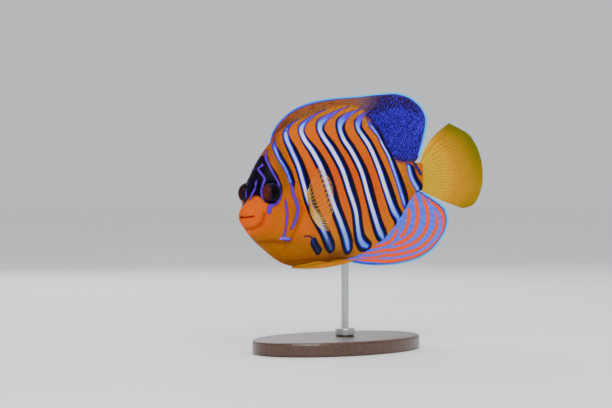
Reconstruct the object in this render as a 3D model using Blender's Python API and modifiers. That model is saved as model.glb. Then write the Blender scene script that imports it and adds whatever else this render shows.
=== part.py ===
"""A regal angelfish as a still, life-size display model on a plain stand.

The fish is shaped in a straight frame, in millimetres: s runs from the snout to the tail, y runs
across with the left flank at -y, and z is up, with 0 at the height of the upper lip. Every point
is then carried onto a spine that swings the tail to the left, and made metres. The origin is the
middle of the underside of the stand's base.
"""
import math

import bmesh
import bpy
import numpy as np

# Driving sizes, in millimetres and radians
MM = 0.001
GAP = 0.3
SNOUT_S = 2.5
PEDUNCLE_END = 156.5
HEAD_END = 40.5
TORSO_END = 139.0
BEND_START = 88.0
BEND_END = 181.0
BEND_ANGLE = math.radians(39.0)
FISH_HEIGHT = 96.0
STAND_S = 95.0
BASE_LENGTH = 132.0
BASE_WIDTH = 84.0
BASE_THICKNESS = 9.0
BASE_EDGE = 1.6
BASE_CENTRE_S = 88.0
ROD_RADIUS = 2.4
COLLAR_RADIUS = 6.5
COLLAR_HEIGHT = 5.0
COLLAR_EDGE = 0.8


def smooth_curve(points):
    """A smooth function through a few (x, value) points."""
    xs, values = np.array(points, float).T
    slopes = np.gradient(values, xs)

    def value(x):
        x = np.clip(np.asarray(x, float), xs[0], xs[-1])
        i = np.clip(np.searchsorted(xs, x) - 1, 0, len(xs) - 2)
        width = xs[i + 1] - xs[i]
        t = (x - xs[i]) / width
        start = (1 + 2 * t) * (1 - t) ** 2 * values[i] + t * (1 - t) ** 2 * width * slopes[i]
        end = t * t * (3 - 2 * t) * values[i + 1] + t * t * (t - 1) * width * slopes[i + 1]
        return start + end

    return value


def along_body(points):
    """A smooth function of s that starts round at the snout, as it runs over the root of s."""
    curve = smooth_curve([(math.sqrt(s - SNOUT_S), value) for s, value in points])
    return lambda s: curve(np.sqrt(np.maximum(np.asarray(s, float) - SNOUT_S, 0.0)))


def smoothstep(x, low, high):
    t = np.clip((np.asarray(x, float) - low) / (high - low), 0.0, 1.0)
    return t * t * (3 - 2 * t)


# The body's outline from the side, its half width and the height where it is widest
BACK = along_body([(2.5, -7.6), (2.9, -4.6), (4.0, -2.0), (6.2, 0.6), (8.3, 4.2), (9.8, 9.5),
                   (11.4, 14.5), (13.4, 19.2), (18.2, 27.6), (24.6, 35.6), (33, 42.5), (45, 48.5),
                   (63, 53.2), (87, 55.4), (107, 53.5), (122, 46.5), (133, 37.0), (142, 30.4),
                   (149, 28.0), (156.5, 27.8)])
BELLY = along_body([(2.5, -8.3), (3.3, -11.6), (6.2, -15.4), (10, -18.8), (14, -22.6),
                    (19, -26.6), (25, -30.6), (32, -35.0), (42, -39.0), (52, -40.2), (66, -39.2),
                    (82, -37.4), (96, -36.0), (108, -33.0), (120, -27.8), (131, -20.6),
                    (140, -10.5), (147, 1.0), (151.5, 7.0), (156.5, 9.4)])
WIDTH = along_body([(2.5, 0.6), (3.2, 3.6), (5, 5.8), (8, 7.9), (12, 10.2), (17, 12.2),
                    (23, 13.0), (30, 13.6), (40, 14.0), (52, 14.2), (66, 13.7), (82, 12.3),
                    (98, 10.3), (114, 8.2), (130, 6.0), (144, 4.3), (152, 3.5), (156.5, 3.2)])
WIDEST = smooth_curve([(2.5, -8.0), (6, -8.0), (9, -7.6), (13, -4.8), (20, -1.0), (30, -1.0),
                       (45, -2.0), (60, 0.0), (80, 4.0), (100, 8.0), (120, 12.0), (140, 16.5),
                       (156.5, 18.6)])
TOP_SLIM = smooth_curve([(2.5, 0.50), (14, 0.52), (30, 0.62), (60, 0.74), (156.5, 0.66)])
LOW_SLIM = smooth_curve([(2.5, 0.50), (40, 0.54), (80, 0.66), (156.5, 0.66)])
TOP_FLAT = smooth_curve([(2.5, 0.25), (20, 0.3), (30, 1.2), (60, 1.3), (156.5, 1.2)])
LOW_FLAT = smooth_curve([(2.5, 0.25), (80, 0.5), (98, 1.2), (156.5, 1.2)])

# Fin outlines: where along the back or belly each ray starts, and where its tip is, over k
DORSAL_ROOT = smooth_curve([(0, 25.8), (.25, 38), (.35, 50), (.5, 71), (.62, 91), (.72, 109),
                            (.8, 121), (.86, 130), (.91, 137.5), (.95, 143), (1, 150.5)])
DORSAL_TIP = [(0, 26.6, 39.6), (.08, 29.2, 46.2), (.15, 35, 52.5), (.25, 47, 60.3),
              (.35, 62, 65.5), (.5, 86, 69.7), (.62, 108, 72.0), (.72, 128, 74.5),
              (.8, 141, 74.9), (.86, 150.5, 71.6), (.91, 157.6, 64.5), (.95, 160.6, 55.5),
              (.98, 158.4, 43.4), (1, 153.4, 33)]
ANAL_ROOT = smooth_curve([(0, 99), (.2, 106), (.35, 113.5), (.5, 121.5), (.6, 127), (.7, 132.5),
                          (.78, 136.8), (.85, 140.5), (.91, 144.0), (.95, 147.0), (1, 152.4)])
ANAL_TIP = [(0, 100.6, -38.6), (.08, 105, -39.2), (.2, 113, -40.4), (.35, 126, -41.1),
            (.5, 139, -40.6), (.6, 148.5, -39.0), (.7, 157.5, -35.9), (.78, 165, -30.8),
            (.85, 171, -23.4), (.91, 174.8, -15), (.95, 174.8, -7.4), (.98, 170, -1.0),
            (1, 157.8, 7.6)]
CAUDAL_TIP = [(0, 185.5, -3.0), (.08, 191.8, -1.0), (.18, 195.8, 4.2), (.3, 198.2, 10.9),
              (.45, 199.1, 18), (.58, 198.8, 25.2), (.72, 197.1, 33.5), (.84, 193.5, 41.8),
              (.93, 187.6, 48.8), (1, 175.8, 55.0)]
EYE_S = 17.3
EYE_Z = 6.9
EYE_Y = 11.2
EYE_RADIUS = 6.9
EYE_DEPTH = 4.6
MOUTH_INSIDE = np.array([10.0, 0.0, -8.0])
MOUTH_CORNER_S = 7.4
MOUTH_DEPTH = 1.3
LIP_HEIGHT = 0.55
LIP_REACH = 1.5
LIP_THICKNESS = 1.1
MOUTH_OPENING = 0.35
MOUTH_ROWS = (-0.07, 0.07)
NOSTRILS = [(10.8, 10.6, 0.8), (12.6, 9.2, 0.7)]
CHEEK_EDGE = smooth_curve([(-21, 25.6), (-16, 27.4), (-9.5, 29.8), (-3.8, 29.3), (4, 28.3)])
CHEEK_SPINE = ((26.0, -21.2), (33.4, -22.0), 1.5)

# Low forms on the head: heights, and how far each fades to the front and back of its edge
GILL_SWELL, GILL_SWELL_REACH = 0.6, 3.0
GILL_STEP, GILL_STEP_REACH = 0.4, 4.0
GILL_TOP = (10.0, 20.0)
GILL_CENTRE_Z = -4.2
GILL_CURVE = 3.0
CHEEK_SWELL, CHEEK_SWELL_REACH = 0.45, 4.0
CHEEK_STEP, CHEEK_STEP_REACH = 0.25, 2.5
CHEEK_FOOT = (-24.0, -19.0)
CHEEK_TOP = (0.0, 5.0)
EYE_RIM, EYE_RIM_GAP, EYE_RIM_WIDTH = 1.1, 0.7, 1.8

# Fins: numbers of rays, half thicknesses at the edge and at the root, and the rays' ridges
DORSAL_RAYS, ANAL_RAYS, CAUDAL_RAYS, PECTORAL_RAYS, PELVIC_RAYS = 30, 20, 17, 13, 6
MEDIAN_EDGE, PECTORAL_EDGE, PELVIC_EDGE = 0.32, 0.26, 0.28
DORSAL_THICK, ANAL_THICK, PECTORAL_THICK, PELVIC_THICK = 1.2, 1.1, 0.8, 0.5
CAUDAL_THICK, CAUDAL_THICK_REACH = 0.9, 0.35
MEDIAN_RIDGE, PAIRED_RIDGE = 0.25, 0.14
RIDGE_FROM = 0.05
RIDGE_TAPER = 0.7
TIP_THINNING = 0.55
MEDIAN_ROWS = (0, .08, .25, .5, .78, 1)
CAUDAL_ROWS = (0, .07, .16, .35, .62, .85, 1)
PECTORAL_ROWS = (0, .15, .35, .6, .82, 1)
PELVIC_ROWS = (0, .12, .3, .5, .7, .87, 1)
RAY_BOW = 0.10
CAUDAL_INSET = 0.5
CAUDAL_LOW_BOW = np.array([-2.7, -0.7])
CAUDAL_TOP_BOW = np.array([-7.7, 1.8])

# Pectoral fins: the root's lowest and highest point, how far each is turned rearward, and where
# the bend and the tip of each ray lie from its root, lowest ray first
PECTORAL_ROOT = ((48.3, -4.0), (46.5, 5.8))
LEFT_SWEEP = 0.0
RIGHT_SWEEP = math.radians(50.0)
PECTORAL_BEND = [(0, -5.5, -12.9, -12.8), (.33, -6.4, -13.4, -9.2), (.66, -6.6, -10.3, -2.3),
                 (1, -6.0, -8.2, 8.5)]
PECTORAL_TIP = [(0, -5.8, -22.5, -12.8), (.33, -4.7, -26.4, 0.0), (.66, -4.7, -25.0, 11.5),
                (1, -8.1, -18.7, 17.7)]

# Pelvic fins: where the lowest and highest ray start and end along the body, the lowest ray's
# height, sag and lift, how far the fin covers the belly, and how its tip stands off
PELVIC_START = (45.5, 49.0)
PELVIC_END = (100.0, 82.0)
PELVIC_Z = -41.2
PELVIC_SAG = 1.0
PELVIC_LIFT = 4.2
PELVIC_COVER = 2.6
PELVIC_CLEAR = 0.75
PELVIC_SPREAD = 2.2
PELVIC_SPREAD_S = (78.0, 98.0)

COLOURS = {
    "orange": (0.85, 0.30, 0.02), "brown": (0.45, 0.20, 0.05), "blue": (0.12, 0.10, 0.60),
    "yellow": (0.90, 0.60, 0.03), "lilac": (0.45, 0.40, 0.85), "gold": (0.75, 0.48, 0.05),
    "black": (0.01, 0.01, 0.02), "steel": (0.6, 0.6, 0.62), "dark_wood": (0.03, 0.025, 0.02),
}


# The spine
SPINE_S = np.linspace(-5.0, 240.0, 4901)
SPINE_TURN = BEND_ANGLE * smoothstep(SPINE_S, BEND_START, BEND_END)
STEP = SPINE_S[1] - SPINE_S[0]
SPINE_X = SPINE_S[0] + np.concatenate([[0.0], np.cumsum(np.cos(SPINE_TURN[:-1]) * STEP)])
SPINE_Y = -np.concatenate([[0.0], np.cumsum(np.sin(SPINE_TURN[:-1]) * STEP)])


def carried(points):
    """Points (s, y, z) in millimetres, carried onto the curved spine, in metres."""
    s, y, z = np.asarray(points, float).T
    turn = np.interp(s, SPINE_S, SPINE_TURN)
    x = np.interp(s, SPINE_S, SPINE_X) + y * np.sin(turn) - BASE_CENTRE_S
    across = np.interp(s, SPINE_S, SPINE_Y) + y * np.cos(turn)
    return np.stack([x, across, z + FISH_HEIGHT], axis=1) * MM


# The body's surface
def gill_lean(z):
    """How far the gill cover's rear edge runs forward of its rearmost point, at height z."""
    return -0.5 * (np.hypot(z - GILL_CENTRE_Z, GILL_CURVE) - GILL_CURVE)


def station_lean(station):
    """A cross section leans with the gill cover's edge near it, and is upright far from it."""
    return smoothstep(station, SNOUT_S, HEAD_END) * (1 - smoothstep(station, HEAD_END, 80.0))


def section_s(station, z):
    return station + station_lean(station) * gill_lean(z)


def half_width(s, z):
    """The body's plain half width at s and z."""
    top, low, mid, wide = BACK(s), BELLY(s), WIDEST(s), WIDTH(s)
    above = z > mid
    t = np.clip(np.abs(z - mid) / np.where(above, top - mid, mid - low), 0.0, 1.0)
    flat = np.where(above, TOP_FLAT(s), LOW_FLAT(s))
    slim = np.where(above, TOP_SLIM(s), LOW_SLIM(s))
    return flat + (wide - flat) * (1 - t * t) ** slim


def relief(s, z):
    """Low forms on the flank: the gill cover's edge, the cheek's edge and the rim of the eye."""
    behind = s - (HEAD_END + gill_lean(z))
    swell = GILL_SWELL * np.exp(-(behind / GILL_SWELL_REACH) ** 2)
    step = -GILL_STEP * np.exp(-(behind / GILL_STEP_REACH) ** 2)
    gill = np.where(behind < 0, swell, step) * (1 - smoothstep(z, *GILL_TOP))
    past = s - CHEEK_EDGE(z)
    swell = CHEEK_SWELL * np.exp(-(past / CHEEK_SWELL_REACH) ** 2)
    step = -CHEEK_STEP * np.exp(-(past / CHEEK_STEP_REACH) ** 2)
    cheek = np.where(past < 0, swell, step)
    cheek = cheek * smoothstep(z, *CHEEK_FOOT) * (1 - smoothstep(z, *CHEEK_TOP))
    around = np.hypot(s - EYE_S, z - EYE_Z) - EYE_RADIUS - EYE_RIM_GAP
    return gill + cheek + EYE_RIM * np.exp(-(around / EYE_RIM_WIDTH) ** 2)


def with_lips(points):
    """Pushes the snout's points out into lips and in along the line of the mouth."""
    out = points - MOUTH_INSIDE
    distance = np.linalg.norm(out, axis=1)
    reach = 1 - smoothstep(points[:, 0], MOUTH_CORNER_S - 2.5, MOUTH_CORNER_S)
    height = points[:, 2] - MOUTH_INSIDE[2]
    lips = LIP_HEIGHT * np.exp(-((np.abs(height) - LIP_REACH) / LIP_THICKNESS) ** 2)
    line = -MOUTH_DEPTH * np.exp(-(height / MOUTH_OPENING) ** 2)
    return points + out / distance[:, None] * ((lips + line) * reach)[:, None]


def section_end(station, outline, inside, outside):
    """The height where a section's line crosses the back or the belly."""
    for _ in range(50):
        z = (inside + outside) / 2
        beyond = (outline(section_s(station, z)) - z) * (1 if outside > inside else -1)
        if beyond > 0:
            inside = z
        else:
            outside = z
    return (inside + outside) / 2


def row_rises(rows, extra=()):
    """Heights of the rows of a cross section, from -1 at the belly to 1 at the back."""
    even = np.sin(np.linspace(-math.pi / 2, math.pi / 2, rows))
    return np.array(sorted([*even, *extra]))


def section(station, rise):
    """The (s, y, z) points of the left side of one cross section, from the belly to the back."""
    mid = float(WIDEST(station))
    top = section_end(station, BACK, mid, 70.0)
    low = section_end(station, BELLY, mid, -60.0)
    z = np.where(rise > 0, mid + (top - mid) * rise, mid + (mid - low) * rise)
    s = section_s(station, z)
    edge_fade = 1 - np.abs(rise) ** 6
    y = -half_width(s, z) - relief(s, z) * edge_fade * smoothstep(s, SNOUT_S + 2, SNOUT_S + 8)
    return with_lips(np.stack([s, y, z], axis=1))


def mesh_object(name, points, faces, colour):
    mesh = bpy.data.meshes.new(name)
    mesh.from_pydata(carried(points).tolist(), [], faces)
    work = bmesh.new()
    work.from_mesh(mesh)
    bmesh.ops.recalc_face_normals(work, faces=work.faces)
    work.to_mesh(mesh)
    work.free()
    return finished(bpy.data.objects.new(name, mesh), colour)


def material(name):
    if name in bpy.data.materials:
        return bpy.data.materials[name]
    made = bpy.data.materials.new(name)
    made.use_nodes = True
    shader = made.node_tree.nodes["Principled BSDF"]
    shader.inputs["Base Color"].default_value = (*COLOURS[name], 1.0)
    shader.inputs["Roughness"].default_value = 0.3
    shader.inputs["Metallic"].default_value = 1.0 if name == "steel" else 0.0
    return made


def finished(item, colour):
    MODEL.objects.link(item)
    item.data.materials.clear()
    item.data.materials.append(material(colour))
    item.data.shade_smooth()
    item.data.set_sharp_from_angle(angle=math.radians(40))
    return item


def body_length(name, stations, rise, colour):
    """A closed length of the body, lofted through its cross sections."""
    rows = len(rise)
    sections = [section(station, rise) for station in stations]
    points = []
    for left in sections:
        right = left[::-1] * (1, -1, 1)
        points.extend(np.concatenate([left, right]))
    ring = 2 * rows
    faces = []
    for i in range(len(sections) - 1):
        for j in range(ring):
            a = i * ring + j
            b = i * ring + (j + 1) % ring
            faces.append((a, b, b + ring, a + ring))
    for start in (0, (len(sections) - 1) * ring):
        for j in range(rows - 1):
            faces.append((start + j, start + j + 1, start + ring - 2 - j, start + ring - 1 - j))
    return mesh_object(name, points, faces, colour)


def fin_object(name, middle, across, half, columns, rows, colour, seat=None):
    """A thin closed fin: left and right faces over one grid, split into triangles alike.

    middle(k, v) is the point of its middle surface, across(k, v) the way that it is thick, and
    half(i, k, v) half its thickness, where i counts the columns: rays run up the even ones.
    seat, if any, moves a point of the root onto what the fin grows from.
    """
    left = []
    right = []
    for i in range(columns):
        k = i / (columns - 1)
        for v in rows:
            centre = np.array(middle(k, v))
            offset = np.array(across(k, v)) * half(i, k, v)
            pair = [centre - offset, centre + offset]
            if seat and v == 0:
                pair = [seat(point) for point in pair]
            left.append(pair[0])
            right.append(pair[1])
    count = columns * len(rows)
    faces = []

    def place(i, j):
        return i * len(rows) + j

    for i in range(columns - 1):
        for j in range(len(rows) - 1):
            a, b, c, d = place(i, j), place(i + 1, j), place(i + 1, j + 1), place(i, j + 1)
            split = [(a, b, c), (a, c, d)] if i % 2 else [(a, b, d), (b, c, d)]
            for one, two, three in split:
                faces.append((one, two, three))
                faces.append((one + count, three + count, two + count))
    edge = [place(i, 0) for i in range(columns)]
    edge += [place(columns - 1, j) for j in range(1, len(rows))]
    edge += [place(i, len(rows) - 1) for i in range(columns - 2, -1, -1)]
    edge += [place(0, j) for j in range(len(rows) - 2, 0, -1)]
    for a, b in zip(edge, edge[1:] + edge[:1]):
        faces.append((a, b, b + count))
        faces.append((a, b + count, a + count))
    return mesh_object(name, left + right, faces, colour)


def curves_of(table):
    """Smooth curves over the first column of a table, one for each other column."""
    return [smooth_curve([(row[0], row[column]) for row in table])
            for column in range(1, len(table[0]))]


def at(curves, k):
    return np.array([float(curve(k)) for curve in curves])


def between(ends, k):
    return ends[0] + (ends[1] - ends[0]) * k


def bent_ray(start, bend, end, v):
    """The point at v along a ray that starts towards a bend and ends at its tip."""
    return start * (1 - v) ** 2 + 2 * bend * v * (1 - v) + end * v * v


def with_ridge(plain, ridge, i, v):
    """Half the thickness of a fin with a ridge on each ray, thinned at the tip."""
    if i % 2 == 0 and v > RIDGE_FROM:
        plain += ridge * (1 - RIDGE_TAPER * v)
    return plain * (TIP_THINNING if v == 1.0 else 1.0)


def ray_half(root, edge, ridge):
    """Half the thickness of a fin: thick at the root, thin at the edge, with a ridge on each ray."""
    return lambda i, k, v: with_ridge(edge + (root - edge) * (1 - v) ** 3, ridge, i, v)


def median_fin(name, outline, side, root, tips, rays, thick, colour):
    """A fin in the middle plane, from the body's outline to its own, its rays bowed rearward."""
    tip = curves_of(tips)

    def middle(k, v):
        s = float(root(k))
        slope = float(outline(s + 0.5)) - float(outline(s - 0.5))
        length = math.hypot(1.0, slope)
        start = np.array([s - side * slope * GAP / length, outline(s) + side * GAP / length])
        out = at(tip, k) - start
        bow = -side * RAY_BOW * v * (1 - v) * np.array([-out[1], out[0]])
        place = start + out * v + bow
        return place[0], 0.0, place[1]

    half = ray_half(thick, MEDIAN_EDGE, MEDIAN_RIDGE)
    fin_object(name, middle, lambda k, v: (0, 1, 0), half, 2 * rays - 1, MEDIAN_ROWS, colour)


def start_over():
    for item in list(bpy.data.objects):
        bpy.data.objects.remove(item, do_unlink=True)


def spaced(start, end, count, power=1.0):
    return [start + (end - start) * (i / (count - 1)) ** power for i in range(count)]


def joined(item, others, operation):
    """Cuts or joins closed meshes into item for good, and removes them."""
    for other in others:
        cut = item.modifiers.new("cut", "BOOLEAN")
        cut.operation = operation
        cut.object = other
    graph = bpy.context.evaluated_depsgraph_get()
    whole = bpy.data.meshes.new_from_object(item.evaluated_get(graph))
    item.modifiers.clear()
    item.data = whole
    for other in others:
        bpy.data.objects.remove(other, do_unlink=True)
    item.data.shade_smooth()
    item.data.set_sharp_from_angle(angle=math.radians(40))


def guide(item):
    """Moves a cutter or a piece to be joined to the collection that the model leaves out."""
    for home in list(item.users_collection):
        home.objects.unlink(item)
    CUTTERS.objects.link(item)
    item.hide_render = True
    item.display_type = "WIRE"
    return item


def ellipsoid(centre, radii, segments, rings):
    bpy.ops.mesh.primitive_uv_sphere_add(segments=segments, ring_count=rings, radius=1.0)
    ball = bpy.context.object
    flat = np.array([vertex.co[:] for vertex in ball.data.vertices])
    flat = flat[:, [0, 2, 1]] * radii + centre
    for vertex, place in zip(ball.data.vertices, carried(flat)):
        vertex.co = place
    ball.data.flip_normals()
    return ball


def cheek_spine(side):
    """The short spine at the lower corner of the cheek, pointing back over the flank."""
    (s, z), (tip_s, tip_z), radius = CHEEK_SPINE
    start = np.array([s, side * (float(half_width(s, z)) - 0.6), z])
    tip = np.array([tip_s, side * (float(half_width(tip_s, tip_z)) + 1.3), tip_z])
    sides = 8
    points = []
    for along, size in ((0.0, 1.0), (0.5, 0.75), (1.0, 0.15)):
        for i in range(sides):
            angle = 2 * math.pi * i / sides
            ring = np.array([0.0, math.cos(angle) * 0.7, math.sin(angle)]) * radius * size
            points.append(start + (tip - start) * along + ring)
    faces = [tuple(range(sides)), tuple(range(2 * sides, 3 * sides))]
    for j in (0, sides):
        for i in range(sides):
            following = (i + 1) % sides
            faces.append((j + i, j + following, j + sides + following, j + sides + i))
    return mesh_object("cheek_spine", points, faces, "blue")


def make_head():
    stations = spaced(SNOUT_S + 0.12, HEAD_END - GAP / 2, 25, 1.7)
    head = body_length("head", stations, row_rises(17, MOUTH_ROWS), "orange")
    joined(head, [guide(cheek_spine(side)) for side in (-1, 1)], "UNION")
    sockets = []
    for side in (-1, 1):
        radii = (EYE_RADIUS + GAP, EYE_DEPTH + GAP, EYE_RADIUS + GAP)
        sockets.append(guide(ellipsoid((EYE_S, side * EYE_Y, EYE_Z), radii, 28, 14)))
        for s, z, radius in NOSTRILS:
            centre = (s, side * float(half_width(s, z)), z)
            sockets.append(guide(ellipsoid(centre, (radius, radius, radius * 1.2), 8, 6)))
    joined(head, sockets, "DIFFERENCE")


def make_eyes():
    for side, word in ((-1, "left"), (1, "right")):
        radii = (EYE_RADIUS, EYE_DEPTH, EYE_RADIUS)
        eye = ellipsoid((EYE_S, side * EYE_Y, EYE_Z), radii, 24, 12)
        eye.name = "eye_" + word
        for home in list(eye.users_collection):
            home.objects.unlink(eye)
        finished(eye, "black")


def make_body():
    rise = row_rises(17, MOUTH_ROWS)
    body_length("torso", spaced(HEAD_END + GAP / 2, TORSO_END, 22), rise, "orange")
    body_length("tail_peduncle", spaced(TORSO_END + GAP, PEDUNCLE_END, 6), row_rises(15), "brown")


def make_caudal_fin():
    tip = curves_of(CAUDAL_TIP)
    root = (float(BELLY(PEDUNCLE_END)) + CAUDAL_INSET, float(BACK(PEDUNCLE_END)) - CAUDAL_INSET)

    def middle(k, v):
        start = np.array([PEDUNCLE_END + GAP, between(root, k)])
        end = at(tip, k)
        bow = CAUDAL_LOW_BOW * (1 - k) ** 2 + CAUDAL_TOP_BOW * k ** 3
        place = bent_ray(start, (start + end) / 2 + bow, end, v)
        return place[0], 0.0, place[1]

    def half(i, k, v):
        thick = CAUDAL_THICK * float(half_width(PEDUNCLE_END, between(root, k)))
        taper = max(0.0, 1 - v / CAUDAL_THICK_REACH) ** 2
        return with_ridge(MEDIAN_EDGE + (thick - MEDIAN_EDGE) * taper, MEDIAN_RIDGE, i, v)

    fin_object("caudal_fin", middle, lambda k, v: (0, 1, 0), half, 2 * CAUDAL_RAYS - 1,
               CAUDAL_ROWS, "yellow")


def make_pectoral_fin(word, side, sweep):
    """A spread pectoral fin, turned rearward about its root by sweep."""
    bends = curves_of(PECTORAL_BEND)
    tips = curves_of(PECTORAL_TIP)

    def turned(offset):
        s, y, z = offset
        return np.array([s * math.cos(sweep) - y * math.sin(sweep),
                         s * math.sin(sweep) + y * math.cos(sweep), z])

    def middle(k, v):
        s, z = between(np.array(PECTORAL_ROOT), k)
        start = np.array([s, -(float(half_width(s, z)) + GAP), z])
        place = bent_ray(start, start + turned(at(bends, k)), start + turned(at(tips, k)), v)
        return np.array([place[0], place[1] * -side, place[2]])

    def across(k, v):
        reach = 0.03
        along = middle(min(k + reach, 1), v) - middle(max(k - reach, 0), v)
        out = middle(k, min(v + reach, 1)) - middle(k, max(v - reach, 0))
        normal = np.cross(along, out)
        if v == 0:
            normal[1] = 0.0
        return normal / np.linalg.norm(normal)

    def seat(point):
        s, _, z = point
        return np.array([s, side * (float(half_width(s, z)) + GAP), z])

    fin_object("pectoral_fin_" + word, middle, across,
               ray_half(PECTORAL_THICK, PECTORAL_EDGE, PAIRED_RIDGE), 2 * PECTORAL_RAYS - 1,
               PECTORAL_ROWS, "yellow", seat)


def make_pelvic_fin(word, side):
    """A folded pelvic fin along the belly, its leading ray lowest."""
    def middle(k, v):
        s = between((between(PELVIC_START, k), between(PELVIC_END, k ** 1.5)), v)
        low = PELVIC_Z - PELVIC_SAG * math.sin(math.pi * v) + PELVIC_LIFT * v ** 3
        high = float(BELLY(s)) + PELVIC_COVER
        opening = 0.35 + 0.65 * math.sin(math.pi * min(v + 0.12, 1.0))
        z = between((low, high), k * opening)
        body = float(half_width(s, max(z, float(BELLY(s)))))
        spread = PELVIC_SPREAD * float(smoothstep(s, *PELVIC_SPREAD_S))
        return s, side * (body + GAP + PELVIC_CLEAR + spread), z

    fin_object("pelvic_fin_" + word, middle, lambda k, v: (0, 1, 0),
               ray_half(PELVIC_THICK, PELVIC_EDGE, PAIRED_RIDGE), 2 * PELVIC_RAYS - 1,
               PELVIC_ROWS, "gold")


def rounded(item, edge):
    bevel = item.modifiers.new("edge", "BEVEL")
    bevel.width = edge * MM
    bevel.segments = 2


def turned_piece(name, radius, low, high):
    """An upright round steel piece of the stand between two heights above the floor."""
    x, y, _ = carried([(STAND_S, 0.0, 0.0)])[0]
    bpy.ops.mesh.primitive_cylinder_add(vertices=32, radius=radius * MM, depth=(high - low) * MM,
                                        location=(x, y, (low + high) / 2 * MM))
    piece = bpy.context.object
    piece.name = name
    for home in list(piece.users_collection):
        home.objects.unlink(piece)
    return finished(piece, "steel")


def make_stand():
    bpy.ops.mesh.primitive_cylinder_add(vertices=56, radius=1.0, depth=BASE_THICKNESS * MM,
                                        location=(0, 0, BASE_THICKNESS / 2 * MM))
    base = bpy.context.object
    base.name = "stand_base"
    base.scale = (BASE_LENGTH / 2 * MM, BASE_WIDTH / 2 * MM, 1.0)
    bpy.ops.object.transform_apply(location=False, rotation=False, scale=True)
    for home in list(base.users_collection):
        home.objects.unlink(base)
    rounded(finished(base, "dark_wood"), BASE_EDGE)
    foot = BASE_THICKNESS + GAP
    rounded(turned_piece("stand_collar", COLLAR_RADIUS, foot, foot + COLLAR_HEIGHT), COLLAR_EDGE)
    under_rod = np.linspace(STAND_S - ROD_RADIUS, STAND_S + ROD_RADIUS, 9)
    turned_piece("stand_rod", ROD_RADIUS, foot + COLLAR_HEIGHT + GAP,
                 FISH_HEIGHT + float(np.min(BELLY(under_rod))) - GAP)


start_over()
MODEL = bpy.data.collections.new("regal_angelfish")
CUTTERS = bpy.data.collections.new("cutters")
bpy.context.scene.collection.children.link(MODEL)
bpy.context.scene.collection.children.link(CUTTERS)
make_head()
make_eyes()
make_body()
median_fin("dorsal_fin", BACK, 1, DORSAL_ROOT, DORSAL_TIP, DORSAL_RAYS, DORSAL_THICK, "blue")
median_fin("anal_fin", BELLY, -1, ANAL_ROOT, ANAL_TIP, ANAL_RAYS, ANAL_THICK, "lilac")
make_caudal_fin()
make_pectoral_fin("left", -1, LEFT_SWEEP)
make_pectoral_fin("right", 1, RIGHT_SWEEP)
make_pelvic_fin("left", -1)
make_pelvic_fin("right", 1)
make_stand()
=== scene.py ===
"""The looks of the regal angelfish model: skin, scales, fins, eyes, stand, floor, light, camera.

Shapes are made in the straight frame of the model's source, in millimetres: s from the snout to
the tail, y across with the left flank at -y, z up. carried() takes them onto the curved spine.
Markings are curves drawn through named places of the photograph, put on the left flank through
the camera, and mirrored to the right flank.
"""
import math

import bpy
import numpy as np
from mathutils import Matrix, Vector


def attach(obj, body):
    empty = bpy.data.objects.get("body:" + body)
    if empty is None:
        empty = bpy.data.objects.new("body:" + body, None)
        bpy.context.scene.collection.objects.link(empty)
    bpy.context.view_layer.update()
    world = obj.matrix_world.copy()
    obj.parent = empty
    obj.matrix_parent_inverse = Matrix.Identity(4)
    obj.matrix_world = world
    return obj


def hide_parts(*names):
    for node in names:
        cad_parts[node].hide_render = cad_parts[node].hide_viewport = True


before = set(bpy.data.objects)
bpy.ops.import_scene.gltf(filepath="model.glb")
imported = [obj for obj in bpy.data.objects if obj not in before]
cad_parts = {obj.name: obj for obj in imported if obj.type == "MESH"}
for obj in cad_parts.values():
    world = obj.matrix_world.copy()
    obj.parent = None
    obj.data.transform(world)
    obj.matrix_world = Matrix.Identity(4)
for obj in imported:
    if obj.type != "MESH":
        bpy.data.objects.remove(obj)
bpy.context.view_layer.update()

# Sizes repeated from the model's source, in millimetres and radians
MM = 0.001
SNOUT_S = 2.5
PEDUNCLE_END = 156.5
HEAD_END = 40.5
BEND_START = 88.0
BEND_END = 181.0
BEND_ANGLE = math.radians(39.0)
FISH_HEIGHT = 96.0
BASE_CENTRE_S = 88.0
EYE_S = 17.3
EYE_Z = 6.9
EYE_Y = 11.2
EYE_RADIUS = 6.9
EYE_DEPTH = 4.6
MOUTH_INSIDE = np.array([10.0, 0.0, -8.0])
MOUTH_CORNER_S = 7.4
CHEEK_SPINE = ((26.0, -21.2), (33.4, -22.0))
NOSTRILS = [(10.8, 10.6, 0.8), (12.6, 9.2, 0.7)]

# The camera, as the photograph was taken
IMAGE_WIDTH = 612
IMAGE_CENTRE = (306.0, 204.0)
LENS = 100.0
SENSOR = 36.0
CAMERA_AZIMUTH = math.radians(-45.0)
CAMERA_AT = np.array([-716.0, -774.7])
MIDDLE_DEPTH = 1117.0
FOCAL = LENS / SENSOR * IMAGE_WIDTH
VIEW_BACK = np.array([math.sin(CAMERA_AZIMUTH), -math.cos(CAMERA_AZIMUTH)])
VIEW_RIGHT = np.array([math.cos(CAMERA_AZIMUTH), math.sin(CAMERA_AZIMUTH)])

# How fine the meshes are
RAY_SIDES = 6
EYE_SIDES, EYE_RINGS = 64, 31
SPINE_SIDES, SPINE_STEPS = 16, 14
SKIN_STATIONS = 330
SKIN_ROWS = 128
SKIN_DEPTH = 0.22
SCALE_PITCH = 1.55


def smooth_curve(points):
    """A smooth function through a few (x, value) points."""
    xs, values = np.array(points, float).T
    slopes = np.gradient(values, xs)

    def value(x):
        x = np.clip(np.asarray(x, float), xs[0], xs[-1])
        i = np.clip(np.searchsorted(xs, x) - 1, 0, len(xs) - 2)
        width = xs[i + 1] - xs[i]
        t = (x - xs[i]) / width
        start = (1 + 2 * t) * (1 - t) ** 2 * values[i] + t * (1 - t) ** 2 * width * slopes[i]
        end = t * t * (3 - 2 * t) * values[i + 1] + t * t * (t - 1) * width * slopes[i + 1]
        return start + end

    return value


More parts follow.
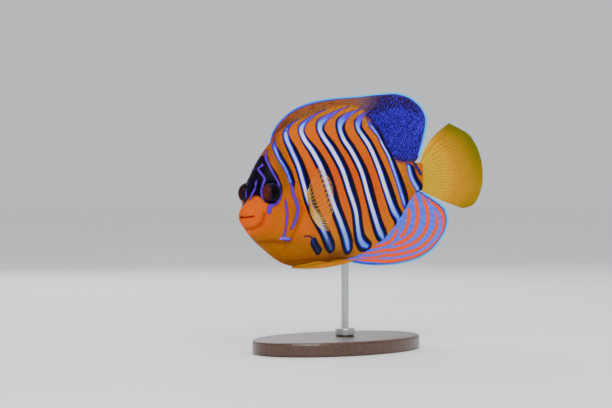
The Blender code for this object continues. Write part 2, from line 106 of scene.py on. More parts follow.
def along_body(points):
    """A smooth function of s that starts round at the snout, as it runs over the root of s."""
    curve = smooth_curve([(math.sqrt(s - SNOUT_S), value) for s, value in points])
    return lambda s: curve(np.sqrt(np.maximum(np.asarray(s, float) - SNOUT_S, 0.0)))


def smoothstep(x, low, high):
    t = np.clip((np.asarray(x, float) - low) / (high - low), 0.0, 1.0)
    return t * t * (3 - 2 * t)


def unit(vectors):
    return vectors / np.linalg.norm(vectors, axis=-1, keepdims=True)


# The body's outline from the side, its half width and the height where it is widest
BACK = along_body([(2.5, -7.6), (2.9, -4.6), (4.0, -2.0), (6.2, 0.6), (8.3, 4.2), (9.8, 9.5),
                   (11.4, 14.5), (13.4, 19.2), (18.2, 27.6), (24.6, 35.6), (33, 42.5), (45, 48.5),
                   (63, 53.2), (87, 55.4), (107, 53.5), (122, 46.5), (133, 37.0), (142, 30.4),
                   (149, 28.0), (156.5, 27.8)])
BELLY = along_body([(2.5, -8.3), (3.3, -11.6), (6.2, -15.4), (10, -18.8), (14, -22.6),
                    (19, -26.6), (25, -30.6), (32, -35.0), (42, -39.0), (52, -40.2), (66, -39.2),
                    (82, -37.4), (96, -36.0), (108, -33.0), (120, -27.8), (131, -20.6),
                    (140, -10.5), (147, 1.0), (151.5, 7.0), (156.5, 9.4)])
WIDTH = along_body([(2.5, 0.6), (3.2, 3.6), (5, 5.8), (8, 7.9), (12, 10.2), (17, 12.2),
                    (23, 13.0), (30, 13.6), (40, 14.0), (52, 14.2), (66, 13.7), (82, 12.3),
                    (98, 10.3), (114, 8.2), (130, 6.0), (144, 4.3), (152, 3.5), (156.5, 3.2)])
WIDEST = smooth_curve([(2.5, -8.0), (6, -8.0), (9, -7.6), (13, -4.8), (20, -1.0), (30, -1.0),
                       (45, -2.0), (60, 0.0), (80, 4.0), (100, 8.0), (120, 12.0), (140, 16.5),
                       (156.5, 18.6)])
TOP_SLIM = smooth_curve([(2.5, 0.50), (14, 0.52), (30, 0.62), (60, 0.74), (156.5, 0.66)])
LOW_SLIM = smooth_curve([(2.5, 0.50), (40, 0.54), (80, 0.66), (156.5, 0.66)])
TOP_FLAT = smooth_curve([(2.5, 0.25), (20, 0.3), (30, 1.2), (60, 1.3), (156.5, 1.2)])
LOW_FLAT = smooth_curve([(2.5, 0.25), (80, 0.5), (98, 1.2), (156.5, 1.2)])
CHEEK_EDGE = smooth_curve([(-21, 25.6), (-16, 27.4), (-9.5, 29.8), (-3.8, 29.3), (4, 28.3)])

# Fin outlines: where along the back or belly each ray starts, and where its tip is, over k
DORSAL_ROOT = smooth_curve([(0, 25.8), (.25, 38), (.35, 50), (.5, 71), (.62, 91), (.72, 109),
                            (.8, 121), (.86, 130), (.91, 137.5), (.95, 143), (1, 150.5)])
DORSAL_TIP = [(0, 26.6, 39.6), (.08, 29.2, 46.2), (.15, 35, 52.5), (.25, 47, 60.3),
              (.35, 62, 65.5), (.5, 86, 69.7), (.62, 108, 72.0), (.72, 128, 74.5),
              (.8, 141, 74.9), (.86, 150.5, 71.6), (.91, 157.6, 64.5), (.95, 160.6, 55.5),
              (.98, 158.4, 43.4), (1, 153.4, 33)]
ANAL_ROOT = smooth_curve([(0, 99), (.2, 106), (.35, 113.5), (.5, 121.5), (.6, 127), (.7, 132.5),
                          (.78, 136.8), (.85, 140.5), (.91, 144.0), (.95, 147.0), (1, 152.4)])
ANAL_TIP = [(0, 100.6, -38.6), (.08, 105, -39.2), (.2, 113, -40.4), (.35, 126, -41.1),
            (.5, 139, -40.6), (.6, 148.5, -39.0), (.7, 157.5, -35.9), (.78, 165, -30.8),
            (.85, 171, -23.4), (.91, 174.8, -15), (.95, 174.8, -7.4), (.98, 170, -1.0),
            (1, 157.8, 7.6)]
# The web's foot in front of the first anal ray
ANAL_LEAD = 4.0
# The bright hem at the last rays: how far the webs reach past the solids' tips at some values of
# k, between which values of k the line along the edge widens to the hem, and both widths
DORSAL_HEM = {.91: (0.3, 0.0), .95: (0.3, 0.0), .98: (0.3, 0.0), 1: (2.3, 0.2)}
ANAL_HEM = {.95: (0.3, 0.3), .98: (0.7, 1.0), 1: (0.5, 0.6)}
HEM_START, HEM_FULL = 0.8, 0.95
HEM_WIDTH, MARGIN_WIDTH = 1.6, 1.3
CAUDAL_TIP = [(0, 185.5, -3.0), (.08, 191.8, -1.0), (.18, 195.8, 4.2), (.3, 198.2, 10.9),
              (.45, 199.1, 18), (.58, 198.8, 25.2), (.72, 197.1, 33.5), (.84, 193.5, 41.8),
              (.93, 187.6, 48.8), (1, 175.8, 55.0)]
PECTORAL_BEND = [(0, -5.5, -12.9, -12.8), (.33, -6.4, -13.4, -9.2), (.66, -6.6, -10.3, -2.3),
                 (1, -6.0, -8.2, 8.5)]
PECTORAL_TIP = [(0, -5.8, -22.5, -12.8), (.33, -4.7, -26.4, 0.0), (.66, -4.7, -25.0, 11.5),
                (1, -8.1, -18.7, 17.7)]
# The pectoral fin's root, as its lowest place (s, z) and its way to the highest, and the far sweep
PECTORAL_FOOT, PECTORAL_RISE = (48.3, -4.0), (-1.8, 9.8)
FAR_PECTORAL_SWEEP = math.radians(50.0)
# The pelvic fin's root and its end, each with its way from the first ray to the last along s,
# and the height of its lower edge
PELVIC_ROOT, PELVIC_END, PELVIC_LOW = (45.5, 3.5), (100.0, -18.0), -41.2
# Half the thickness of a fin at its root and at its edge, and of its rays' ridges
FIN_HALF = {"dorsal": (1.15, 0.24, 0.2), "anal": (1.05, 0.24, 0.2), "pelvic": (0.5, 0.22, 0.14)}

# White stripes with blue edges and dark borders: places in the photograph, in pixels, from the
# dorsal fin down, then the half widths of the white and of the dark on the flank and the length
# over which the stripe grows to them, in millimetres
STRIPES = {
    "first": ([(275, 137), (274, 141), (274.3, 146), (276, 151), (279, 158), (284, 166),
               (287.5, 173), (290.5, 181), (291.5, 184)], 0.55, 2.4, 10),
    "second": ([(297.5, 119.5), (291.2, 124), (288, 127.6), (285.7, 132.5), (287, 140),
                (291.2, 149.5), (298.6, 166.5), (303.4, 183), (308.5, 201), (314, 213),
                (319.5, 223), (324, 231.5), (327.5, 240), (331.5, 249)], 1.25, 4.4, 21),
    "third": ([(326, 109.5), (319, 112.4), (313.8, 115.8), (310.2, 118.2), (307.3, 120.4),
               (304.8, 122.6), (302.7, 125.2), (301.4, 128.5), (301.4, 132), (303.8, 138),
               (312.5, 151), (322, 169), (328.2, 187), (334, 205), (341, 223), (346, 238),
               (348.5, 249.5)], 1.65, 5.2, 38),
    "fourth": ([(350, 106), (343, 108.6), (336, 112), (330, 115.6), (326.3, 118), (323.2, 120.4),
                (320.8, 123), (319.8, 126.4), (320.4, 131), (323.5, 137), (331, 148),
                (341.6, 167.5), (349.4, 190.7), (356, 212), (358.3, 230), (360, 238.5), (363, 244),
                (367.5, 246.5)], 1.7, 5.3, 37),
    "fifth": ([(364, 107.8), (359, 109.8), (353.5, 112), (350, 114), (346.3, 116.2),
               (343.6, 118.5), (341.5, 121), (340.1, 124.4), (340, 128.4), (343, 137.5),
               (351, 150), (361.4, 171), (368, 194), (375, 217.5), (379.5, 231),
               (383, 238)], 1.65, 5.2, 26),
    "sixth": ([(369, 111), (364.5, 113.8), (361.5, 116.3), (359.3, 118.8), (358, 121.8),
               (357.6, 125), (358.4, 129), (361, 133.2), (368, 143.5), (378, 165.7), (385.4, 188),
               (393, 209), (398, 222), (398.5, 226)], 1.6, 4.5, 13),
    "seventh": ([(366.4, 118), (367.8, 122), (370.8, 126.2), (373.7, 130), (376.7, 134.7),
                 (382.2, 143.8), (387.2, 153), (394.2, 171), (400.6, 191),
                 (404.8, 206)], 0.85, 3.1, 8),
    "tail_root": ([(407.3, 162.5), (411.2, 176.7), (418, 190)], 1.0, 2.9, 3),
    "short": ([(311.5, 237), (314.5, 244.5), (319, 252)], 0.15, 2.8, 3),
}
# Dark lines without white
DARK_LINES = {
    "short_foot": ([(303.5, 236.6), (308, 236), (312.5, 237.6)], 0.5),
    "tail_line": ([(413.2, 162), (417.3, 168), (421.2, 175)], 1.1),
}
BLUE_EDGE_WIDTH = 0.9
DARK_SHIFT = 0.75
DARK_SWELL = 0.75
FIN_TIP_HALF = 0.3
# Violet lines on the head and along the dorsal fin, with their half width
VIOLET_LINES = {
    "behind_eye": ([(267, 150), (265.5, 157), (268, 163), (272, 171), (276, 178), (279, 185),
                    (280.7, 192), (280.2, 198), (277, 203), (271.5, 205)], 0.68),
    "under_eye": ([(273, 204.5), (270, 207.5), (269.3, 213)], 1.3),
    "before_eye": ([(259, 162), (262.5, 165), (258, 168.3), (260, 172), (264.5, 179.5), (263, 184),
                    (261.6, 190), (262, 196), (266, 201.8)], 0.65),
    "tail_line": ([(413.3, 162), (417.3, 168), (421, 174.6)], 0.45),
    "nasal": ([(256.3, 180), (255.3, 185), (254, 190), (251.2, 195), (249.5, 199.5)], 0.7),
    "gill": ([(291.5, 183), (292.5, 189), (293.5, 195), (296.5, 202), (298, 208), (297.5, 214),
              (295, 222), (291, 229.5)], 1.0),
    "cheek": ([(285.5, 199), (286.3, 206), (287.3, 214), (286.8, 221), (285.5, 228), (284.3, 234),
               (284, 238), (286, 239.5), (292, 238.5)], 0.8),
}
# Orange bands on the anal fin, with their half width
ANAL_BANDS = {
    "outer": ([(420.7, 191.5), (424.4, 194), (432.4, 202), (440.5, 210), (444, 218), (444, 227),
               (441, 236.5), (434, 245), (426, 251.5), (416.5, 256), (406, 259), (391.4, 261.2),
               (376.7, 260.7), (362, 260), (353.2, 259.2)], 1.35),
    "second": ([(434.3, 210.8), (436.8, 218.2), (436.8, 225.5), (433.2, 234.3), (426.6, 242.4),
                (417.8, 249), (406, 252.6), (395.8, 254.8), (384, 255.6), (373, 257.8),
                (360.5, 257)], 1.15),
    "third": ([(421.4, 193.2), (425.8, 204.2), (427.7, 213), (427.3, 224), (423.6, 233.6),
               (415.6, 241.6), (404.6, 246.8), (394.3, 249.7), (384, 250.4), (373, 252.6),
               (361.3, 253.7)], 1.25),
    "fourth": ([(414.1, 194), (416.3, 204.2), (417.8, 213), (417, 222.6), (414.1, 231.4),
                (408.2, 238), (400.9, 242.4), (392.8, 245)], 1.35),
    "fifth": ([(408.2, 207.9), (409, 215.2), (407.5, 224), (404.6, 232), (399.8, 237.6)], 1.25),
    "inner": ([(397.2, 228.4), (395, 234.3), (391.4, 240.2), (385.5, 243.8), (378.2, 246),
               (369.3, 248.2)], 1.2),
}
MASK_EDGE = [(225, 160), (258, 159), (264, 155), (268, 156), (270, 162.6), (274.3, 168.7),
             (279, 176.4), (282.2, 184.8), (283, 192.4), (281.6, 199), (277.8, 204.5),
             (271.5, 206), (265, 202.5), (261.5, 198), (257, 196), (252, 199), (247, 202.5),
             (241, 205), (225, 205)]
# On the far side the mask reaches lower and the violet lines lie further from the ridge
MASK_DROP = 2.6
FAR_SIDE_WIDER = 1.9
# The soft dorsal fin's blue
BLUE_EDGE = [(362, 116.5), (367.5, 121), (373.8, 133), (381.8, 148), (388, 158.5), (394, 163.5),
             (404, 165), (416, 163.5), (440, 162), (440, 80), (372, 80)]
# Creases of the skin, with their depth and half width
CREASES = {
    "jaw": ([(247, 229), (253, 228.5), (259, 225.5), (263, 220.5), (264.5, 214)], 0.30, 0.8),
    "throat": ([(257, 243.5), (264, 242), (272, 241.5), (282, 242.5), (290, 241.5)], 0.30, 0.8),
    "belly": ([(288, 262), (300, 260.5), (315, 259), (332, 257.5)], 0.2, 0.8),
}

PALETTE = {
    "orange": (226, 106, 0), "deep_orange": (230, 80, 0), "gold": (214, 132, 0),
    "belly": (168, 100, 0), "throat": (146, 78, 0), "cheek": (208, 100, 0), "snout": (228, 92, 0),
    "mask": (3, 3, 18), "brown": (148, 92, 40), "grey_violet": (104, 78, 110),
    "pale_violet": (96, 70, 176), "nape": (136, 80, 4), "tail_orange": (174, 98, 12),
    "dark": (5, 4, 36), "edge_blue": (34, 14, 214), "white": (250, 252, 255),
    "sky": (96, 160, 255), "violet": (88, 0, 208), "violet_shade": (40, 12, 30),
    "maze_dark": (14, 2, 70), "maze_blue": (60, 4, 204), "maze_brown": (40, 22, 14),
    "margin": (0, 190, 255), "margin_blue": (0, 84, 255), "margin_shade": (50, 6, 150),
    "lilac": (84, 122, 255), "lilac_shade": (70, 40, 236), "band": (240, 82, 10),
    "band_shade": (70, 40, 180), "streak": (214, 74, 22), "streak_dark": (84, 52, 34),
    "yellow": (230, 188, 0), "deep_yellow": (222, 146, 0), "olive": (98, 98, 0),
    "fin_gold": (226, 150, 0), "fin_clear": (250, 206, 96), "slate": (26, 28, 78),
    "slate_blue": (66, 68, 132),
    "crease_shade": (104, 26, 0), "lip_red_and_slit_shade": (142, 20, 0), "umber": (104, 56, 14),
    "pale_sky": (168, 206, 255), "fin_violet": (104, 42, 250), "grain": (110, 36, 0),
    "scale_rim_shade": (40, 14, 6), "dorsal_gap": (24, 8, 40), "anal_gap": (70, 50, 160),
    "yellow_gap": (158, 96, 0), "web_tint": (236, 176, 70), "ray_pale": (236, 190, 60),
    "ray_deep": (226, 150, 20), "root_orange": (222, 128, 4), "root_gold": (248, 190, 60),
    "root_cream": (250, 216, 130), "root_tip": (220, 186, 90), "iris_brown": (98, 36, 14),
    "iris_dark": (64, 24, 22), "eye_blue": (5, 3, 26), "pupil": (1, 1, 5),
    "spine_blue": (84, 30, 250), "spine_pale": (110, 60, 255),
    "wood": (58, 33, 20), "wood_light": (84, 50, 30), "wood_warm": (66, 38, 22),
    "wood_dark": (44, 25, 15), "wood_pore": (26, 14, 9), "steel": (168, 170, 172),
    "steel_light": (196, 198, 200), "floor": (248, 249, 250), "floor_light": (251, 252, 252),
}
# Between which values the materials read the meshes' attributes; others run from 0 to 1
READ_BETWEEN = {"stripe": (-3, 3), "dark": (-3, 3), "violet": (-3, 3), "band": (-3, 3),
                "mask": (-5, 5), "blue": (-10, 10), "height": (-50, 80), "along": (0, 200),
                "margin": (0, 5), "front": (-1, 1)}


def linear(rgb):
    """An sRGB colour of 0 to 255 as linear light."""
    part = np.array(rgb, float) / 255
    return np.where(part <= 0.04045, part / 12.92, ((part + 0.055) / 1.055) ** 2.4)


# The spine
SPINE_S = np.linspace(-5.0, 240.0, 4901)
SPINE_TURN = BEND_ANGLE * smoothstep(SPINE_S, BEND_START, BEND_END)
STEP = SPINE_S[1] - SPINE_S[0]
SPINE_X = SPINE_S[0] + np.concatenate([[0.0], np.cumsum(np.cos(SPINE_TURN[:-1]) * STEP)])
SPINE_Y = -np.concatenate([[0.0], np.cumsum(np.sin(SPINE_TURN[:-1]) * STEP)])


def on_spine(s, y):
    """Plan coordinates of a point, in millimetres from the snout's reference."""
    turn = np.interp(s, SPINE_S, SPINE_TURN)
    x = np.interp(s, SPINE_S, SPINE_X) + y * np.sin(turn)
    across = np.interp(s, SPINE_S, SPINE_Y) + y * np.cos(turn)
    return x, across


def carried(points):
    """Points (s, y, z) in millimetres, carried onto the curved spine, in metres."""
    s, y, z = np.asarray(points, float).T
    x, across = on_spine(s, y)
    return np.stack([x - BASE_CENTRE_S, across, z + FISH_HEIGHT], axis=1) * MM


# The body's surface
def behind_gill(s, z):
    """How far a place lies behind the gill cover's leaning edge."""
    return s - HEAD_END + 0.5 * (np.sqrt((z + 4.2) ** 2 + 9.0) - 3.0)


def height_share(s, z):
    """How far z lies from the widest height towards the back or the belly, from 0 to 1."""
    mid = WIDEST(s)
    return np.clip(np.abs(z - mid) / np.where(z > mid, BACK(s) - mid, mid - BELLY(s)), 0.0, 1.0)


def half_width(s, z):
    """The body's plain half width at s and z."""
    above = z > WIDEST(s)
    flat = np.where(above, TOP_FLAT(s), LOW_FLAT(s))
    slim = np.where(above, TOP_SLIM(s), LOW_SLIM(s))
    return flat + (WIDTH(s) - flat) * (1 - height_share(s, z) ** 2) ** slim


def swelling(past, front, back, soft):
    """A form that swells up to an edge and dips behind it: height and length on both sides."""
    front, back = (height * np.exp(-(past / length) ** 2) for height, length in (front, back))
    return back + (front - back) * (1 - smoothstep(past, -0.1, soft))


def relief(s, z):
    """Low forms on the flank: the gill cover's edge, the cheek's edge and the rim of the eye."""
    gill = swelling(behind_gill(s, z), (0.6, 3.0), (-0.4, 4.0), 0.7)
    gill = gill * (1 - smoothstep(z, 10, 20))
    cheek = swelling(s - CHEEK_EDGE(z), (0.45, 4.0), (-0.25, 2.5), 0.6)
    cheek = cheek * smoothstep(z, -24, -19) * (1 - smoothstep(z, 0, 5))
    around = np.hypot(s - EYE_S, z - EYE_Z)
    rim = 1.1 * np.exp(-((around - EYE_RADIUS - 0.7) / 1.8) ** 2)
    edge = -0.5 * np.exp(-((around - EYE_RADIUS + 0.3) / 0.35) ** 2)
    fade = (1 - height_share(s, z) ** 6) * smoothstep(s, SNOUT_S + 2, SNOUT_S + 8)
    return (gill + cheek + rim + edge) * fade


def full_width(s, z):
    return half_width(s, z) + relief(s, z)


def mouth_height(s):
    return -8.3 + 0.2 * (s - 3.0)


def with_lips(points):
    """Pushes the snout's points out into lips and in along the line of the mouth."""
    s = points[..., 0]
    height = points[..., 2] - mouth_height(s)
    lips = 0.35 * np.exp(-(height / 2.6) ** 2)
    line = -0.9 * np.exp(-(height / 0.5) ** 2)
    line = line * (0.25 + 0.75 * smoothstep(s, SNOUT_S + 0.3, SNOUT_S + 2.0))
    reach = 1 - smoothstep(s, MOUTH_CORNER_S - 2.5, MOUTH_CORNER_S)
    return points + unit(points - MOUTH_INSIDE) * ((lips + line) * reach)[..., None]


# Places of the photograph
FIN_SIDE = 0.6
LINE_STEP = 0.25
FAR_FROM_LINES = 9.0


def seen_at(s, y, z):
    """The pixel where a point of the straight frame is seen."""
    x, across = on_spine(s, y)
    place = np.array([x, across]) - CAMERA_AT
    depth = -(place @ VIEW_BACK)
    return IMAGE_CENTRE[0] + FOCAL * (place @ VIEW_RIGHT) / depth, depth


def surface_point(u, v, width):
    """The point (s, y, z) of the left side seen at a pixel, where width(s, z) is half the body."""
    low, high = SNOUT_S, 205.0
    z = -(v - IMAGE_CENTRE[1]) * MIDDLE_DEPTH / FOCAL
    for _ in range(40):
        s = (low + high) / 2
        y = -float(width(s, z))
        column, depth = seen_at(s, y, z)
        z = -(v - IMAGE_CENTRE[1]) * depth / FOCAL
        if column < u:
            low = s
        else:
            high = s
    return np.array([s, -float(width(s, z)), z])


def thin_width(s, z):
    """Half the width of the body, or of a fin outside the body's outline."""
    inside = (z < BACK(s)) & (z > BELLY(s))
    return np.where(inside, full_width(s, z), FIN_SIDE)


def dense(points):
    """A smooth path through points, sampled evenly enough."""
    points = np.array(points, float)
    lengths = np.concatenate([[0.0], np.cumsum(np.linalg.norm(np.diff(points, axis=0), axis=1))])
    at = np.linspace(0, lengths[-1], max(4, int(lengths[-1] / LINE_STEP)))
    axes = [smooth_curve(list(zip(lengths, points[:, a])))(at) for a in range(points.shape[1])]
    return np.stack(axes, axis=1), at / lengths[-1]


def drawn_line(pixels, half, width):
    """Samples of a line drawn on the left side, each with its half width, slimmer at the ends."""
    path, along = dense([surface_point(u, v, width) for u, v in pixels])
    return path, half * np.minimum(1.0, 0.35 + 6 * np.minimum(along, 1 - along))


def stripe_lines(pixels, white, dark, taper):
    """Samples of a stripe's white and of its dark, both running thin up in the dorsal fin."""
    path, along = dense([surface_point(u, v, thin_width) for u, v in pixels])
    length = np.linalg.norm(np.diff(path, axis=0), axis=1).sum()
    full = smoothstep(along * length, 0.1 * taper, taper)
    heavy = smoothstep(along * length, 0.65 * taper, 1.5 * taper)
    foot = np.minimum(1.0, 0.75 + 6 * (1 - along))
    middle = np.exp(-((path[:, 2] - 11) / 15) ** 2)
    low = smoothstep(-path[:, 2], -4, 10)
    edge = FIN_TIP_HALF + (white + BLUE_EDGE_WIDTH - FIN_TIP_HALF) * full
    border = dark - white - BLUE_EDGE_WIDTH
    wider = DARK_SWELL * (middle + 0.4 * low) * min(1.0, border / 3)
    dark_half = edge * foot + (border * (0.06 + 0.94 * heavy) + wider) * foot
    shift = (DARK_SHIFT + DARK_SWELL * (1.3 * middle - 0.6 * low)) * heavy
    shift = np.stack([shift, 0 * along, 0 * along], axis=1)
    return (path, edge * foot - BLUE_EDGE_WIDTH), (path + shift, dark_half)


def beyond_ridge(points):
    """Points of the head's far side drawn nearer to its ridge, where the markings lie wider."""
    moved = np.array(points, float)
    far_head = smoothstep(moved[:, 1], 0, 2) * (1 - smoothstep(moved[:, 0], 18, 24))
    moved[:, 1] -= FAR_SIDE_WIDER * far_head
    return moved


def line_field(points, lines):
    """For each point, the distance from the nearest line's edge, negative inside it."""
    side = np.array(points, float)
    side[:, 1] = -np.abs(side[:, 1])
    field = np.full(len(side), FAR_FROM_LINES)
    for path, halves in lines:
        reach = 5.0 + halves.max()
        low, high = path.min(axis=0) - reach, path.max(axis=0) + reach
        chosen = np.where(np.all((side > low) & (side < high), axis=1))[0]
        for start in range(0, len(chosen), 20000):
            part = chosen[start:start + 20000]
            gap = np.linalg.norm(side[part][:, None, :] - path[None, :, :], axis=2) - halves
            field[part] = np.minimum(field[part], gap.min(axis=1))
    return field


def polygon_field(s, z, corners):
    """Signed distance to a closed outline in the side view, negative inside."""
    corners = np.array(corners)
    following = np.roll(corners, -1, axis=0)
    nearest = np.full(len(s), 1e9)
    inside = np.zeros(len(s), bool)
    for (s0, z0), (s1, z1) in zip(corners, following):
        ds, dz = s1 - s0, z1 - z0
        t = np.clip(((s - s0) * ds + (z - z0) * dz) / (ds * ds + dz * dz), 0, 1)
        nearest = np.minimum(nearest, np.hypot(s - s0 - t * ds, z - z0 - t * dz))
        crosses = (z0 > z) != (z1 > z)
        at = s0 + (z - z0) * ds / (dz if dz else 1e-9)
        inside ^= crosses & (s < at)
    return np.where(inside, -nearest, nearest)


WHITE, DARK = zip(*[stripe_lines(*stripe) for stripe in STRIPES.values()])
DARK += tuple(drawn_line(*line, thin_width) for line in DARK_LINES.values())
HEAD_VIOLET = [drawn_line(*line, thin_width) for line in VIOLET_LINES.values()]
BANDS = [drawn_line(*line, lambda s, z: FIN_SIDE) for line in ANAL_BANDS.values()]
BANDS = [(path, half * (0.6 + 0.4 * smoothstep(path[:, 0], 112, 138))) for path, half in BANDS]
FOLDS = [(drawn_line(line, 0.0, full_width), depth, width)
         for line, depth, width in CREASES.values()]
MASK = [surface_point(u, v, thin_width)[[0, 2]] for u, v in MASK_EDGE]
MASK[0][0] = MASK[-1][0] = -12.0
BLUE = [surface_point(u, v, lambda s, z: FIN_SIDE)[[0, 2]] for u, v in BLUE_EDGE]


def ground_colour(points):
    """The colour under the lines and stripes: orange, with a brown nape and a golden belly."""
    s, _, z = points.T
    colour = np.tile(linear(PALETTE["orange"]), (len(points), 1))

    def lay(name, weight):
        colour[:] = colour + (linear(PALETTE[name]) - colour) * weight[:, None]

    middle = np.exp(-((z - 18) / 20) ** 2) * smoothstep(s, 40, 60) * (1 - smoothstep(s, 112, 135))
    lay("deep_orange", 0.8 * middle)
    lay("gold", 0.75 * smoothstep(-z, 6 + 0.1 * (s - 60), 22) * smoothstep(s, 48, 70))
    lay("gold", 0.5 * smoothstep(s, 118, 140))
    lay("cheek", (1 - smoothstep(s, 30, 46)) * (1 - smoothstep(z, 16, 30)))
    lay("nape", 0.85 * np.exp(-((s - 27.5) / 6) ** 2) * smoothstep(z, 3, 13))
    lay("umber", 0.5 * smoothstep(z, 22, 30) * (1 - smoothstep(s, 20, 28)))
    lay("belly", 0.95 * smoothstep(-z - 0.1 * (s - 20), 13, 25) * (1 - smoothstep(s, 92, 112)))
    lay("throat", 0.7 * smoothstep(-z, 28, 38) * (1 - smoothstep(s, 60, 100)))
    lay("snout", 1 - smoothstep(np.hypot(s - 4, (z + 6) * 0.9), 9, 17))
    lay("tail_orange", 0.6 * smoothstep(s, 138, 146))
    gill = np.exp(-((s - 36) / 4) ** 2) * np.exp(-((z + 7) / 11) ** 2)
    lay("nape", 0.5 * gill)
    # Painted shade on the lowest belly, where the pelvic fin lies along it
    pelvic_fin_shade = np.exp(-((s - 84) / 12) ** 2) * smoothstep(-z, 28, 33)
    lay("umber", 0.7 * pelvic_fin_shade)
    above = z - BACK(s)
    band = 3.2 + 7 * smoothstep(s, 50, 105)
    lay("gold", 0.8 * smoothstep(above, -2, 3) * smoothstep(s, 34, 46))
    lay("brown", smoothstep(above, band - 1.2, band + 1.2))
    lay("umber", (1 - smoothstep(s, 36, 52)) * smoothstep(above, 1.5, 4))
    grey = smoothstep(above, band, band + 3) * smoothstep(s, 92, 122)
    lay("grey_violet", 0.9 * grey)
    lay("pale_violet", smoothstep(s, 120, 138) * smoothstep(z, 62, 70))
    return colour


def hollows(s, z):
    """How deep a point lies in the mouth's line, from 0 to 1: the weight of the lips' own
    red-brown and of the painted shade in the slit.
    """
    inside = 1 - smoothstep(s, MOUTH_CORNER_S - 1.0, MOUTH_CORNER_S)
    return np.exp(-((z - mouth_height(s)) / 0.7) ** 4) * inside


def folds(points):
    """How much a point is shaded by a crease or the edge of the gill cover, from 0 to 1."""
    shade = np.zeros(len(points))
    for line, depth, width in FOLDS:
        distance = line_field(points, [line])
        shade = np.maximum(shade, 1.9 * depth * np.exp(-(distance / (1.9 * width)) ** 2))
    s, _, z = points.T
    gill = 0.55 * np.exp(-((behind_gill(s, z) - 0.4) / 0.7) ** 2) * smoothstep(-z, -8, -2)
    return np.maximum(shade, gill * smoothstep(z, -30, -20))


def store(mesh, name, values):
    layer = mesh.attributes.new(name, "FLOAT", "POINT")
    layer.data.foreach_set("value", np.asarray(values, np.float32))


def paint(mesh, points, extra={}):
    """Stores the ground colour and the distance of every marking on a mesh."""
    s, y, z = points.T
    fields = {
        "stripe": line_field(points, WHITE),
        "dark": line_field(points, DARK),
        "violet": line_field(beyond_ridge(points), HEAD_VIOLET),
        "mask": polygon_field(s, z + MASK_DROP * smoothstep(y, 0, 3) * (s < 16), MASK),
        "hollow": hollows(s, z),
        "fold_shade": folds(points),
        "blue": polygon_field(s, z, BLUE) / (1 + 3.5 * smoothstep(z, 58, 67)),
        "height": z,
        "along": s,
        **extra,
    }
    colour = np.ones((len(points), 4))
    colour[:, :3] = ground_colour(points)
    layer = mesh.attributes.new("ground", "FLOAT_COLOR", "POINT")
    layer.data.foreach_set("color", colour.ravel())
    for name, values in fields.items():
        store(mesh, name, values)


def new_object(name, data):
    item = bpy.data.objects.new(name, data)
    bpy.context.scene.collection.objects.link(item)
    return item


def aim(item, place, toward):
    """Puts a light or the camera at a place, looking along toward."""
    item.location = place
    item.rotation_euler = Vector(toward).to_track_quat("-Z", "Y").to_euler()


def dress(item, material, slot, *nodes):
    """Gives a piece its material, rides it on root and lets it replace nodes; slot is not used."""
    item.data.materials.append(material)
    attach(item, "root")
    if nodes:
        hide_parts(*nodes)


def mesh_object(name, points, faces):
    """An object from arrays of points and of faces with equally many corners."""
    mesh = bpy.data.meshes.new(name)
    faces = np.asarray(faces, np.int32)
    mesh.vertices.add(len(points))
    mesh.vertices.foreach_set("co", carried(points).astype(np.float32).ravel())
    mesh.loops.add(faces.size)
    mesh.loops.foreach_set("vertex_index", faces.ravel())
    mesh.polygons.add(len(faces))
    starts = np.arange(0, faces.size, faces.shape[1], dtype=np.int32)
    mesh.polygons.foreach_set("loop_start", starts)
    mesh.update(calc_edges=True)
    mesh.validate()
    mesh.shade_smooth()
    return new_object(name, mesh)


def ring_walls(steps, sides):
    """Triangles between rings of as many points as sides."""
    a = np.arange((steps - 1) * sides)
    b = a // sides * sides + (a + 1) % sides
    walls = [np.stack([a, b, b + sides], -1), np.stack([a, b + sides, a + sides], -1)]
    return np.concatenate(walls)


def tube_faces(steps, sides):
    """Triangles of a tube of rings with both ends closed."""
    caps = []
    for end, flip in ((0, 1), ((steps - 1) * sides, -1)):
        caps += [(end, end + n + 1, end + n)[::flip] for n in range(1, sides - 1)]
    return np.concatenate([ring_walls(steps, sides), caps])


def circle(sides):
    """Cosines and sines of as many directions as sides, once around."""
    turn = np.arange(sides) / sides * 2 * math.pi
    return np.cos(turn), np.sin(turn)


